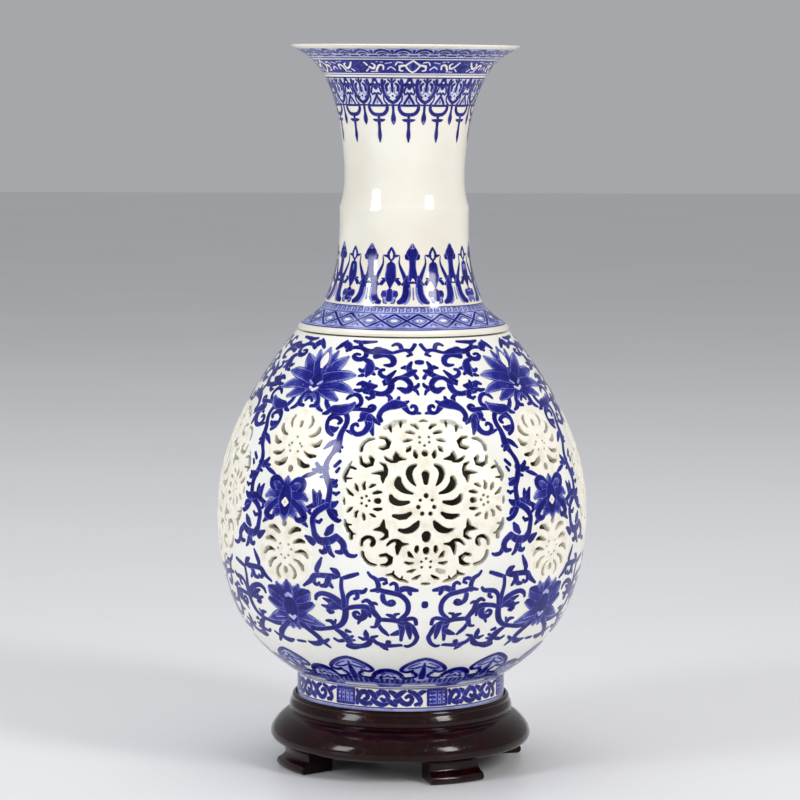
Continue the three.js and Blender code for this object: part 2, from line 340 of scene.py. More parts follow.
@dataclass(frozen=True)
class Fit:
    """How a motif is stretched as it is laid: angles and widths by a factor, heights by marks."""

    turn: float = 1.0
    width: float = 1.0
    marks: tuple[tuple[float, float], ...] = ((0.0, 0.0), (400.0, 400.0))

    def height(self, z: Array | float) -> Array:
        """Height on the piece for a height as the motif was drawn, both in millimetres."""
        drawn, laid = zip(*self.marks)
        return np.interp(z, drawn, laid)

    def stroke(self, s: Stroke) -> Stroke:
        """The stroke as it is laid on the piece.

        Args:
            s: The stroke as it was drawn.

        Returns:
            The new stroke.
        """
        rows = s.rows.copy()
        rows[:, 0] *= self.turn
        rows[:, 1] = self.height(rows[:, 1])
        rows[:, 2] *= self.width
        return replace(s, rows=rows)


@dataclass(frozen=True)
class Sampled:
    """A stroke laid on a surface: centre points, side vectors, travel vectors and widths."""

    centre: Array
    side: Array
    ahead: Array
    width: Array

    @classmethod
    def along(cls, stroke: Stroke, on: Profile, step: float) -> "Sampled":
        """Samples a stroke about every step millimetres on a surface.

        Args:
            stroke: The stroke.
            on: The surface it lies on.
            step: Spacing of the samples in millimetres.

        Returns:
            The sampled stroke.
        """
        ends = on.place(stroke.rows[:, 0], stroke.rows[:, 1])
        reach = np.linalg.norm(np.diff(ends, axis=0), axis=1).max()
        rows = smooth_path(stroke.rows, max(1, int(round(reach / step))))
        p = on.place(rows[:, 0], rows[:, 1])
        ahead = np.gradient(p, axis=0)
        ahead /= np.linalg.norm(ahead, axis=1, keepdims=True) + 1e-12
        side = np.cross(on.normals(rows[:, 0], rows[:, 1]), ahead)
        side /= np.linalg.norm(side, axis=1, keepdims=True) + 1e-12
        return cls(p, side, ahead, np.maximum(rows[:, 2], 0.3))


class Painter:
    """Lays strokes on a surface and gathers them as one sheet of thin colour."""

    def __init__(self, on: Profile, lift: float = 0.05, spread: float = 0.6) -> None:
        """Starts an empty sheet.

        Args:
            on: The surface to paint.
            lift: Thickness of the lowest coat in millimetres.
            spread: How far the wet edge of a stroke runs, in millimetres of its width.
        """
        self.on, self.lift, self.spread, self.count = on, lift, spread, 0
        self.step = 1.7
        self.verts: list[Array] = []
        self.faces: list[Array] = []
        self.tone: list[Array] = []
        self.petal: list[Array] = []
        self.uv: list[Array] = []
        self.total = 0

    def stroke(self, s: Stroke, coat: int = 1) -> None:
        """Adds one stroke with round ends, a few points wide so that it hugs the surface.

        Args:
            s: The stroke.
            coat: Layer of colour, from 0 for the lowest.
        """
        m = Sampled.along(s, self.on, self.step)
        half = m.width * 0.53 + self.spread / 2
        caps = [(-0.87, 0.5), (-0.5, 0.87)]
        c = [m.centre[0] + m.ahead[0] * half[0] * a for a, _ in caps]
        w = [half[0] * b for _, b in caps]
        c += list(m.centre)
        w += list(half)
        c += [m.centre[-1] - m.ahead[-1] * half[-1] * a for a, _ in reversed(caps)]
        w += [half[-1] * b for _, b in reversed(caps)]
        side = np.vstack([m.side[:1]] * 2 + [m.side] + [m.side[-1:]] * 2)
        cols = 2 * max(1, math.ceil(m.width.max() / 4.5)) + 1
        across = np.linspace(-1, 1, cols)
        centre, wide = np.array(c), np.array(w)
        grid = centre[:, None] + side[:, None] * (wide[:, None] * across)[..., None]
        flat = grid.reshape(-1, 3)
        self.count += 1
        lift = self.lift + coat * 0.03 + 0.0025 * (self.count % 9)
        theta, z = self.on.read(flat)
        z = np.clip(z, self.on.grid[0, 0], self.on.grid[0, -1])
        n = len(centre)
        run = np.concatenate([[0], np.cumsum(np.linalg.norm(np.diff(centre, axis=0), axis=1))])
        uv = np.stack([np.tile(across * 0.5 + 0.5, n), np.repeat(run / max(run[-1], 1e-6), cols)], -1)
        self.sheet(self.on.place(theta, z, lift), n, cols, s.tone, s.petal, uv)

    def sheet(self, points: Array, rows: int, cols: int, tone: float, petal: float, uv: Array) -> None:
        """Adds a grid of points, row by row, as faces that look outwards.

        Args:
            points: Points in millimetres, row by row.
            rows: Number of rows.
            cols: Points in a row.
            tone: Strength of the colour.
            petal: 1 for a petal, 0 for a plain stroke.
            uv: Place of each point across and along the stroke.
        """
        i = (np.arange(rows - 1)[:, None] * cols + np.arange(cols - 1)).ravel() + self.total
        self.faces.append(np.stack([i, i + cols, i + cols + 1, i + 1], -1))
        self.verts.append(points)
        self.tone.append(np.full(len(points), tone))
        self.petal.append(np.full(len(points), petal))
        self.uv.append(uv)
        self.total += len(points)

    def ring(self, z0: float, z1: float, tone: float, coat: int = 0, steps: int = 192) -> None:
        """Adds a painted band right round the piece from height z0 to z1.

        Args:
            z0: Lower height in millimetres.
            z1: Upper height in millimetres.
            tone: Strength of the colour.
            coat: Layer of colour, from 0 for the lowest.
            steps: Stretches round the piece.
        """
        edge = self.on.place(np.zeros(2), np.array([z0, z1]), 0.0)
        cols = max(2, math.ceil(float(np.linalg.norm(edge[1] - edge[0])) / 1.5) + 1)
        theta = np.linspace(0, 360, steps + 1)
        z = np.linspace(z1, z0, cols)
        t, h = np.meshgrid(theta, z, indexing="ij")
        points = self.on.place(t.ravel(), h.ravel(), self.lift + coat * 0.03)
        uv = np.stack([np.tile(np.linspace(0.3, 0.7, cols), steps + 1), t.ravel() / 360], -1)
        self.sheet(points, steps + 1, cols, tone, 0.0, uv)

    def motif(self, repeats: int, texts: tuple[str, ...], phase: float = 0.0,
              mirrored: bool = True, coat: int = 1, fit: Fit = Fit()) -> None:
        """Repeats strokes round the piece, with their mirror images if wanted.

        Args:
            repeats: Times round the piece.
            texts: The strokes, as Stroke.parse reads them.
            phase: Angle of the first repeat in degrees.
            mirrored: Whether each stroke is laid with its mirror image.
            coat: Layer of colour, from 0 for the lowest.
            fit: Stretch of the motif.
        """
        for text in texts:
            base = fit.stroke(Stroke.parse(text))
            for k in range(repeats):
                for flip in (False, True) if mirrored else (False,):
                    self.stroke(base.moved(flip, phase + 360.0 * k / repeats), coat)

    def finish(self, name: str) -> Obj:
        """Builds the sheet with its brush map and tone, faces outwards.

        Args:
            name: Name of the new piece.

        Returns:
            The sheet as one object.
        """
        verts, faces = np.vstack(self.verts), np.vstack(self.faces)
        a, b, c = verts[faces[:, 0]], verts[faces[:, 1]], verts[faces[:, 2]]
        normal = np.cross(b - a, c - a)
        mid = (a + c) / 2
        out = np.stack(self.on.place(*self.on.read(mid), 1.0)) - self.on.place(*self.on.read(mid))
        wrong = (normal * out).sum(1) < 0
        faces[wrong] = faces[wrong][:, ::-1]
        obj = from_rows(name, verts, faces)
        mesh = obj.data
        for key, rows in (("tone", self.tone), ("petal", self.petal)):
            mesh.attributes.new(key, "FLOAT", "POINT").data.foreach_set("value", np.concatenate(rows))
        index = np.empty(len(mesh.loops), np.int32)
        mesh.loops.foreach_get("vertex_index", index)
        mesh.uv_layers.new(name="brush").data.foreach_set("uv", np.vstack(self.uv)[index].ravel())
        mesh.polygons.foreach_set("use_smooth", [True] * len(mesh.polygons))
        theta, z = self.on.read(verts)
        mesh.normals_split_custom_set_from_vertices(self.on.normals(theta, z).tolist())
        return obj


class Cutter:
    """Gathers cuts through a wall as closed plugs with a soft outer edge."""

    def __init__(self, on: Profile, depth: float = 7.5, round_off: float = 0.42) -> None:
        """Starts an empty set of plugs.

        Args:
            on: The outside of the wall.
            depth: How far the plugs reach inwards, in millimetres.
            round_off: Width of the softened edge, in millimetres.
        """
        self.on, self.depth, self.soft = on, depth, round_off
        self.groups: list[tuple[list[tuple[Array, Array]], list[list[Array]]]] = []

    def outline(self, m: Sampled, grow: float) -> Array:
        """The stroke's outline as angle and height rows, grown by some millimetres.

        Args:
            m: The sampled cut.
            grow: Extra width all round in millimetres.

        Returns:
            Rows of angle in degrees and height in millimetres.
        """
        half = m.width / 2 + grow
        turns = np.radians([60, 20, -20, -60])
        tip = m.centre[-1] + half[-1] * (
            m.side[-1] * np.sin(turns)[:, None] + m.ahead[-1] * np.cos(turns)[:, None])
        tail = m.centre[0] - half[0] * (
            m.side[0] * np.sin(turns)[:, None] + m.ahead[0] * np.cos(turns)[:, None])
        left = m.centre + m.side * half[:, None]
        right = m.centre - m.side * half[:, None]
        rim = np.vstack([left, tip, right[::-1], tail])
        return np.stack(self.on.read(rim), -1)

    def plug(self, s: Stroke) -> None:
        """Adds the plug of one cut.

        Args:
            s: The cut.
        """
        wider = s.rows * [1, 1, 1.12] + [0, 0, 0.22]
        m = Sampled.along(Stroke(wider), self.on, 2.2)
        inner, outer = self.outline(m, 0.0), self.outline(m, self.soft + 0.4)
        levels = [(inner, -self.depth), (inner, -self.soft), (outer, 0.4)]
        points = [self.on.place(ring[:, 0], ring[:, 1], lift) for ring, lift in levels]
        lo, hi = outer.min(0) - 0.15, outer.max(0) + 0.15
        for box_set, plugs in self.groups:
            if all((lo > b).any() or (a > hi).any() for a, b in box_set):
                break
        else:
            box_set, plugs = [], []
            self.groups.append((box_set, plugs))
        box_set.append((lo, hi))
        plugs.append(points)

    def motif(self, texts: tuple[str, ...]) -> None:
        """Repeats cuts on the four sides, with mirror images of those off the axis."""
        for text in texts:
            base = Stroke.parse(text)
            a = base.rows[:, 0]
            lone = np.abs(a).max() < 0.1 or np.abs(a - 45).max() < 0.1
            for k in range(4):
                for flip in (False,) if lone else (False, True):
                    self.plug(base.moved(flip, 90.0 * k))

    @staticmethod
    def solid(plugs: list[list[Array]]) -> Obj:
        """Joins plugs, given as three rings of points each, into one cutting mesh.

        Args:
            plugs: The plugs of one group.

        Returns:
            The piece.
        """
        verts, faces, base = [], [], 0
        for rings in plugs:
            n = len(rings[0])
            verts += rings
            for k in range(2):
                a, b = base + k * n, base + (k + 1) * n
                faces += [(a + i, b + i, b + (i + 1) % n, a + (i + 1) % n) for i in range(n)]
            faces.append(tuple(base + i for i in range(n)))
            faces.append(tuple(base + 2 * n + i for i in reversed(range(n))))
            base += 3 * n
        obj = from_rows("plugs", np.vstack(verts), faces)
        only(obj)
        bpy.ops.object.mode_set(mode="EDIT")
        bpy.ops.mesh.select_all(action="SELECT")
        bpy.ops.mesh.quads_convert_to_tris(quad_method="BEAUTY", ngon_method="CLIP")
        bpy.ops.mesh.select_all(action="SELECT")
        bpy.ops.mesh.normals_make_consistent(inside=False)
        bpy.ops.object.mode_set(mode="OBJECT")
        return obj

    def bite(self, wall: Obj) -> None:
        """Cuts the gathered plugs out of the wall, one set of separate plugs after another."""
        for _, plugs in self.groups:
            cutter = self.solid(plugs)
            apply(wall, "BOOLEAN", operation="DIFFERENCE", solver="MANIFOLD", object=cutter)
            mesh = cutter.data
            bpy.data.objects.remove(cutter)
            bpy.data.meshes.remove(mesh)
            LOG.info("cut %d openings, wall now has %d faces", len(plugs), len(wall.data.polygons))


# Cuts and brush strokes, each written "angle height width" from point to point: angle in
# degrees from the middle of a side, height and width in millimetres.

CENTRE_CUTS = (
    "0 174.2 4,0 170 2.4", "3.1 179 1.5,4.6 177.5 3,5.2 174.5 3.2,4.4 171 2.4,3.2 168.5 .8",
    "8.4 172 2.6,8.6 169.5 4,7.5 167 3.4,6 165.3 2.2,4.1 164.3 1",
    "10.7 162.8 2,10.2 160.8 3.2,8.5 159.3 2.8,6.8 159.3 2.2,5.3 159.8 1.4",
    "9.8 152.5 1.6,8 151.8 2.8,6.2 152.2 2.8,4.8 153.8 1.8",
    "8 145 1.6,6.5 144.3 2.6,4.5 145.2 3.4,3 147.5 3.2,2.4 149.3 1.6", "0 142 4.6,0 140.4 4",
    "0 163.2 2.4", "1.8 160.8 1.4", "2.4 157.2 2", "1.25 153.7 2",
)

NORTH_CUTS = (
    "1.3 201.2 .8,0 201.7 1.3", "4.3 199.5 1,3 199.2 1.8,2.1 197.8 1.4",
    "6 195.8 1.2,4.8 195.8 1.8,3.4 195.2 1.2", "6.9 191 1,5.5 191.7 1.8,4.2 191.8 .8",
    "5.8 186 1.2,5.3 187 2.6,4.7 188.2 1.2", "3.3 186 1.4,3 184 2.6,2.9 183 1.5", "0 185 3.2",
    "0 189 1.2", "1.6 190.6 1.2", "1.6 193.2 1.2",
)

SOUTH_CUTS = (
    "0 134.2 3.4,0 133.4 3", "2.8 135.8 2,2.9 134 2.4,2.9 133 1.2",
    "5.2 133 1.4,4.8 131.3 2.4,3.9 130.3 .9", "6.2 127.6 1.2,5.2 126.9 1.8,3.9 127.2 1",
    "5.4 122.5 1.2,4.4 122.7 1.9,3.3 123.6 1", "3.9 118.5 1.2,2.9 119 1.9,1.8 120.4 1.1",
    "1.2 115.9 1,0 115.8 1.5", "0 129.7 1.2", "1.4 128 1.2", "1.3 125 1.2",
)

SIDE_CUTS = (
    "14.4 160.2 2.8,15.1 160.2 2.4", "16 164.2 1.2,14.8 164.8 1.9,13.6 164.8 1",
    "17.3 167.2 1,16.5 168.2 1.8,15.5 168.6 .8", "18.9 166.5 1.8,19.2 168.5 1.8,18.8 169.8 1",
    "20.9 165.5 1.2,21.4 167 2,21.7 168.5 1", "22.3 162.8 1,23.5 164 1.8,24.3 165.8 1",
    "25 161 .8,25 159.5 1.4,24.8 157.8 .8", "23.8 154 1.2,23 155.5 1.8,22.3 156.3 .8",
    "21.2 151.8 1.6,21.2 153.5 1.8,20.6 154.5 1", "18.6 150.5 1.6,18.8 152.5 1.8,18.9 153.2 1",
    "16.8 153.2 .8,16 152.5 1.6,15.3 152 1", "15.7 155.8 1,14.7 155.7 1.8,13.5 156 1.2",
    "18.1 162.5 1.2", "17.2 160.2 1.2", "18 157.5 1.2", "19.5 161.5 1.2", "19.5 158.7 1.2",
)

CORNER_CUTS = (
    "16.8 192.1 1,18.5 191.7 1.6,20 190.2 1.6,20.8 188 2,20.8 186 1.8",
    "14.8 192.9 1.2,13 192.6 1.6,11.8 190.7 2.6,12.3 188.3 2.6,13.7 187.4 2.2,14.9 187.6 1",
    "20.8 182.5 1.4,20.3 179.5 1.8,18.8 178.3 2.2,17.1 179.3 2.6,16.9 181.5 2.6,17.6 182.6 1.8",
    "9.4 185.5 1,9.3 183.5 4,8.8 182.3 3.4,7.3 182.2 1.6,6.2 182 .8",
    "9.3 181.3 2.4,10.8 180.9 1.8,12.2 181.8 1.6,12.9 183 1",
    "14.3 180 .8,12.9 178.9 1.8,12.4 176.5 2.2,13 174.3 3.8,13.3 172 2.4,13.2 170 1",
    "13.5 174.8 2.5,15 174.8 1.6,16.7 174.4 .6",
    "13.3 197.7 1.2,11.7 198.3 2,10 200.3 1.8,8 200.6 1.8,6.5 201 1.2", "11.7 198.3 1.8,11.2 195.8 .7",
    "8 200.6 1.6,8 198.3 .7", "22 176.5 1,24 177.3 1.6,25 174.5 2.4,25.5 172 2,24.9 169.8 1.2",
    "24.9 171.4 1.2,23 171.5 .6", "24.2 178.2 1.2,23.5 180 .6",
    "24.4 149.5 1,24.2 147 2,23.5 144.5 2.2,22.5 142.8 2.2,22.5 140 2", "24 147.2 1.4,22.4 147.2 .6",
    "22.8 142.5 1.4,21.2 142.3 .6",
    "12.7 150 1,12.9 147.8 2.4,13.2 145.5 3.6,12 143.8 2.8,11.8 141.5 2.2,13 140 1.4,13.6 139.8 1",
    "13.8 145.3 2.5,15.6 144.8 .8",
    "19.3 136.5 1.6,19.2 138.8 1.8,17.7 140.9 1.8,16 140 2.4,15.8 137.8 2.6,16.3 136.5 2",
    "11.7 136.6 1,10.6 138.6 1.6,9.2 139.4 1.8,8 137.8 3.4,8.4 135.5 3,8.6 132 1.2",
    "8 137.3 3,6.5 137.3 1.6,5.4 137.5 .8",
    "19 132.6 1.6,18.7 130 1.8,17.3 127 1.8,15.5 125.9 1.6,14.9 126 1",
    "13.6 131 1.6,12 131.6 2,10.6 129.8 2.8,10.8 127.3 2.6,12 125.9 2,13.3 125.9 1.4",
    "11.8 120.5 1,10 121 2,9.2 119.5 1.8,8 118 1.6,6.5 117.6 1.6,5.4 116.8 .8",
    "10 121 1.4,9.6 122.8 .6", "7.6 117.8 1.3,7 120 .6",
)

SMALL_UPPER_CUTS = (
    "45 198.3 2,45 196.7 2", "41.2 201.5 1,40.4 199.5 1.8,40.5 197.5 1.6,41.3 195.8 .8",
    "37 196.3 1.4,37 194.5 2.4,38.5 192.3 1.8,40.3 191.5 .8",
    "35.2 189.8 1.2,36 187.8 2.6,37.2 187 2.2,38.3 187.3 1",
    "36.4 181.7 1.4,38 181.6 2.2,39.5 182 1.6,40.8 183.5 .8",
    "38.3 176.5 1.6,40 176.3 2.4,41.8 177.8 2.8,42.7 179.5 1.2", "45 174.6 3,45 174 3", "42.4 186.2 1",
    "43.4 183.4 1", "43.3 187.5 1", "45 190.8 1",
)

SMALL_LOWER_CUTS = (
    "45 145.4 2.6,45 145 2.6", "39.3 142.5 1.8,41 142.6 2.6,43 140.3 1.8",
    "37.8 136 1.6,39.5 136.6 2.4,41.5 135.2 1.2", "36.7 127.8 1.4,37.6 129.8 2.2,39 130.8 2,41 130 .8",
    "38.6 120.8 1.6,38.8 122.8 2.2,40 125 1.6,41.5 126 .8",
    "42.3 115.6 1.2,41.6 117.5 1.8,41.8 120.5 1.4,43.3 123 .8", "45 120.8 2,45 119.2 2",
    "42.4 131.4 1", "43.4 134 1", "43.6 128 1", "45 126.4 1",
)

SCROLL_LOW = (
    "14.5 96 2,10 95.6 2,7.5 94.8 3,4 92 2.6,2.2 87 2,2 85 2,3 82 1.8,4.8 80.3 1.6,5.8 80.5 1.3",
    "7.5 94 3,7 90 2.5,7.2 86 1.6,7.3 84 1.3", "7.5 89 3,9 88 2.6,10.5 87.2 1",
    "5 92 3,4.5 88 2.4,4.3 85 .8", "7.5 95.5 1.2,5.5 96.3 1.8,4 96.8 1.8,2.8 96 1.8,2.5 93.5 1.6",
    "7.5 96.5 1.6,5.6 99.5 2,5.1 103 2.2,5.6 106.5 2.2,7.3 109.5 2.2,9.5 110.8 2.2,"
    "12.5 111.8 2.2,14.3 112.6 2,16.5 112 1",
    "13 109.5 2.2,12.8 107 2.4,12 105.3 2,10.5 104.4 1.8,9.4 105.3 1.6,10 106.6 1.4,11 106.3 1",
    "14.5 112 2,14.2 115 2.2,15 118.5 2,16.5 120 1.4,17.3 122 1",
    "14.3 118 1.6,13 118.7 1.6,12 118.2 1.6,11.8 116.6 1.6,12.6 116 1.2",
    "8.5 111 2.6,8.6 113 2,8.8 115.5 1.6,9.7 116.5 1.4,10.6 115.6 1",
    "8.5 112 3,6.5 113.5 2.6,5 113.2 2.6,3.5 112.8 1.8,2.5 112.5 1.2",
    "5 113 2.4,4.7 111 1.8,4.5 110.3 1.2", "0 104.9 3,0 104.1 3",
    "14 96 2.2,15.2 98.5 2.6,16.5 101 3,18.5 102.8 2.6,21 102.8 2.2,23.5 102 2,24.8 100.8 1.6",
    "14.5 96 2.6,15 93.5 2.2,15.7 91.6 1.5,17 91.4 .9",
    "14.6 93 1.6,13.8 90.5 2,12.6 88.5 2,11.5 86.8 .8", "11.8 98.8 .8,10.3 98 2,9.5 97 1",
    "9.6 97 1.5,9.2 99 1.5,8 99.4 .7",
    "17 85 1.3,16 82.5 2,14 81 2.4,12 80.5 2.2,9.5 80.7 1.8,7.5 81 1.5,7 80.6 .7",
    "14 80.5 2.2,12.8 79 2,12 78 .7", "11.8 81 2,11.6 82.7 2.6", "15.2 86.3 .8,17 85.3 1.8",
    "18.8 85 2,19 87.5 2.6,19 89.2 .8", "18.8 84.5 2,20.3 84 1.8,21.5 85 1",
    "17.5 84 2,18.5 81.5 3,20.5 80 2.6,23 79.8 2.4,25 80.5 2.4",
    "29.5 89 1.6,27.5 87 3,26 84.5 4,25.3 82 3.4,24.8 79.5 2", "25.5 88.5 2,24.3 88 1",
    "25.5 84 2.4,23.7 85.5 1", "25 83 2,23.3 83.2 .8", "27.5 82.5 2,29.3 82 1.6,30.6 83.3 1.2",
    "26 79.5 2.6,24 78.7 2.6,21.5 79.3 1.5",
    "40 88.7 1.8,36 88.2 2,32 89.2 2,29 90.3 2.2,26.8 92.5 2.6,25.5 96 3,25 100 3,25.2 103 2.6,"
    "25.4 108 2.2,25.8 113 1.8,25.6 118 1.5",
    "25.5 103 2.4,27.5 106 3,30 108.3 2.6,32.5 109 2.2,34.3 107.5 2,34.8 105.5 1.3",
    "25.6 101 2,27 102.6 3.5,29 102.3 4,30.8 100.8 3.2,30.2 98.8 2.4,29.2 99 1.2",
    "31 101.5 2,32.8 102.3 .8", "29.5 104.5 3,32 106.2 .8", "29.5 91.5 2.2,30.5 93.5 2.2,32.2 93.6 .8",
    "29.5 92 1.5,28.8 94.5 .8",
    "24.6 103 1.8,24 108 1.8,22.5 110.5 2,20.5 111 2.2,18.8 111.3 1.8,18 112.8 1.2",
    "21 110.5 2,20.8 108 1.8,21.8 107 1.2", "16.2 102 2.4,16.8 105 2,18 106.6 1.8,19.3 105.6 1.1",
    "16.8 105 1.8,15.3 105 1.3,14.8 104.4 .7",
    "19 101.5 3,18.8 98.5 3.4,20 96.3 3,21.8 96.8 2.2,22.4 98.8 1.8,21.3 99.8 1.4,20.6 98.8 1",
    "17.5 100 2,17.2 97.5 1.2", "20.5 95.5 2,21.3 93 .6",
)

SCROLL_SIDE = (
    "38.5 112.5 1,36 115.5 2.4,34.5 118.5 2.6,31.5 119 2.4,28.5 118.8 2.8,26.5 119.5 2",
    "33.3 119.5 1.5,33.6 122 2.4,32.8 125 2.4,31.8 128.5 .8",
    "34.5 118 2,34.8 115 2,33.8 113.6 1.6,33 114.8 1.1",
    "29.8 118 3,30.2 115.5 3,31 113.5 2.4,32.6 113.2 1.3", "29.8 115 2.6,28.7 112.8 1.2",
    "28.8 123 1,27.5 121.8 3,26.5 120.5 1.6", "25.5 118 1.5,23 119.5 2,20.5 121 1.5",
    "37 139.5 1.2,35.5 138 3.2,34.5 136.5 3",
    "34 141 3,32.5 138 3.4,30.5 137.5 4,28.5 138.5 3.6,27 140.5 3",
    "30.3 137 3.6,30 133.5 3.4,31.5 131.5 2,32.2 132.5 1.2",
    "29.5 134.5 2.6,28.8 131.5 2,27.8 129.8 1",
    "27 140.5 3,25 137.5 3,24.6 134.5 3,25.5 132.3 2.2,27 132.4 1.4",
    "24.3 133.5 2.4,23.3 131 2,21.5 130.5 1.6,20.7 131.2 .8",
    "34 141 2.8,34.5 145 2.6,34.8 149 2.6,33.8 152.5 3,32 155 3,30.3 156.5 3",
    "33.8 148 1.5,32.5 147.6 1.8,31.8 149 1.2", "30.2 141.5 2,29 143.8 4,28.2 146.3 1.5",
    "30 156.5 2.6,29.2 153 2.4,28 150.5 2.4,26.5 149 2,25.8 149.3 1",
    "28.5 154 2.5,27.4 153.5 2,26.9 151.8 1", "29.5 157 4,28 157.5 3,27 158.8 1.2",
    "30.5 157.5 3.6,33 158 3,35 156 2.4,37 155 1", "35.8 155.5 2,36 152.5 1.6,35 151.5 1",
    "34 158 3,34.3 161 3,35.3 164.3 1", "33 159 2.5,33 162 2.5,33 164 1",
    "30 158 3,29.7 162 2.6,29.8 166 2.6,30.8 170 3,31.6 173.5 3,31.9 177 2.6,31.5 180 2.4,"
    "30.5 183 2,29.3 186 3",
    "31.5 176 3,33.5 175.2 3,35.2 178 1.6", "33.5 174.5 3,36.3 174.8 1", "31.5 172 2,33.2 171.2 1",
    "35 173.5 1.2,37.5 171.8 2,39.5 170.5 .8", "30.5 169 3,28.5 169 3.2,27.7 170 1",
    "29 168 3.4,27.8 167.3 2", "28.5 163.5 1,27.5 162.8 1.8,26.6 163.8 1",
    "28.8 177.3 1.6,27.3 179.8 1.5", "28 174.5 1.4,27.3 176.3 1",
)

SCROLL_HIGH = (
    "29.3 186 3.6,28.7 189 3.6,28.6 192 3,28.2 195 2.6,27.3 198 2.4,27 201 2.4,27.8 203.8 2.4,"
    "29.5 205 2.4,32 204 2,34 201.5 1.8,34.3 198 1.8,33.3 194.8 2,31.5 193 1.6",
    "34.2 200 1.2,32.5 202 1.6,30.5 201.8 1.8,29.2 200.2 2,30 199 1.3",
    "34 197 1.5,32.5 196 3,31 195.8 3,30 196.8 1", "30 190 1.6,31.5 188.5 2.6,33.5 185.8 .7",
    "28 187.5 2,27.2 187 1", "28.5 186 2.4,27.7 184.8 1", "37 203.5 1,35.3 204.2 2.4,34.5 206 2",
    "37.3 212 2,36.8 209 2.2,35.5 206.8 2.4",
    "25 207.5 2,23.3 208.8 2,23 211 2,24.2 213.3 2,26.3 214 1.8,28 212.8 1.6,28.8 211.6 1",
    "25.5 206.5 1.6,22.5 206.6 1.6,20 206.2 2.4,18.5 206.3 2.2,17.6 207.7 2,18.8 208.6 1.6,19.8 208 1",
    "20 206 3,21.5 204 3.4,21.5 202 3,22.8 200.8 1", "21 203 4,19 202.5 4,17 201 2,15.3 199.3 .8",
    "19.5 202 4,19 198.5 3.4,20.5 195 2.6,22.8 194 2.2,24.5 195.5 2,24.8 198 1.8,23.5 199.2 1.4,"
    "22.8 198.2 1",
    "26.5 195.5 .8,24.5 194.5 1.8", "18.5 201 3,18 197 2.6,17.3 194 1",
    "7 209.5 3,10 209.5 5,12.5 208.5 4,14.8 206.3 2.6,15.7 203.3 2.4,15 201.2 2.2",
    "9.5 210 3,8.8 213 1.2", "7.5 209.5 3,5.3 211 1", "12 210 2,12.5 212.3 1",
    "6.5 208 3,5 205.5 1.5,3.3 205.2 1.8,2.4 206.5 1.8,2.6 208.3 1.8,3.8 208.9 1.4,4.2 208 1",
    "2.5 205.5 2,1 205 .8",
    "22 216 3,19 215.2 2.6,16 214.6 2.4,13.5 215.3 3,12 217.8 3.2,12.2 220.5 3,13.3 222.6 3,"
    "12 224.5 2,10.5 226.3 .8",
    "13.3 222.8 2,15.5 223.3 1.8,17.1 224.8 2,16.8 226.5 1.8,15.5 226.8 1.3",
    "13.8 222 1.6,15 220.8 2,14.5 219.3 1.6,13.7 219.8 1",
    "12 220.5 2.4,10 222.5 2,8 222.8 2,5.8 222 2.6,4.3 219.8 2.6,4.6 217.3 3,6.3 216.3 3.4,"
    "8 217.3 2,9.3 217.6 .8",
    "4.3 218 2.6,2.5 217.8 2,1.2 219 1.6,1 219.8 1", "3 217.3 1.8,1.8 216 1.4,1.3 214.5 .7",
    "10.5 222.5 1.2,7.5 223.4 1.8,5.5 224.2 2.6,3.5 225.6 3,1.8 226.5 1.2",
    "4 225.5 3,4.8 228 2.6,3.8 230.3 1.4,3.5 230.8 .8", "4.8 227.5 2,6.5 228.2 2.2,7.8 227.8 1",
    "3 225 1.6,2 223.8 1.4,1.5 222.8 1.8", "13 214 2,11.5 212.5 1", "1.1 230.7 2.2,0 230.7 2.6",
)

SCROLL_TOP = (
    "20 236.5 4,16 236 3,12.5 235.4 1.4,10 236 1.6,7 236.8 1.6,4 236.6 1.8,2.5 238 1.6,1.5 239.5 1.8",
    "8 237 2,9 239.3 2,11 239.8 1.6,12.6 239 1", "4.5 236 2,3.5 234.6 2,5.3 233.8 1",
    "20 233.5 3,16.5 234.2 2.4,13.8 233.8 2.6,11.8 232.2 3,11.6 230 2.6,13.2 229 2,15.5 229.2 .8",
    "41 236.5 1.5,38 239 3,35 238 4,33.5 236.3 1.5", "38.5 239 2,37 240.6 1",
    "35 236 2,32 237.5 1.8,28 237.5 2,25 236.2 2.4,22 235.8 3,19 236.5 4",
    "25 236 2.4,24.8 233.5 2.4,26.5 231.8 2.4,29 231.8 2.4,30.8 233.3 2,29.5 234.3 1.4,27.8 234 1",
    "33 240.8 1,29.5 240.2 2,26 240.4 1.8,21 240.8 1", "30 240.6 1,28.8 239 2,28 237.8 1.5",
    "24.5 231.5 2,22.5 230.5 3,21.8 228 5,22 225.5 4,22.8 223.3 1",
    "22 229 3,20 227.5 2.4,18 227.3 .8", "21.5 226 3,19.3 224.3 1",
    "23 229.5 2,23.3 227 2.2,25 225.8 2,26.3 226.7 1.2", "24.5 223.8 2,26 223.3 .8",
    "25.8 219 1,24 219.8 2.6,22.3 218.5 4,20.5 218 5,18 218.5 1.5",
    "22.5 217 2,24.5 216 2,26.5 216.3 1", "21 219.5 2,20.8 221 .8",
    "19.3 215 3,18.8 213 2.6,20.3 212 1.8,21.3 212.8 1",
)

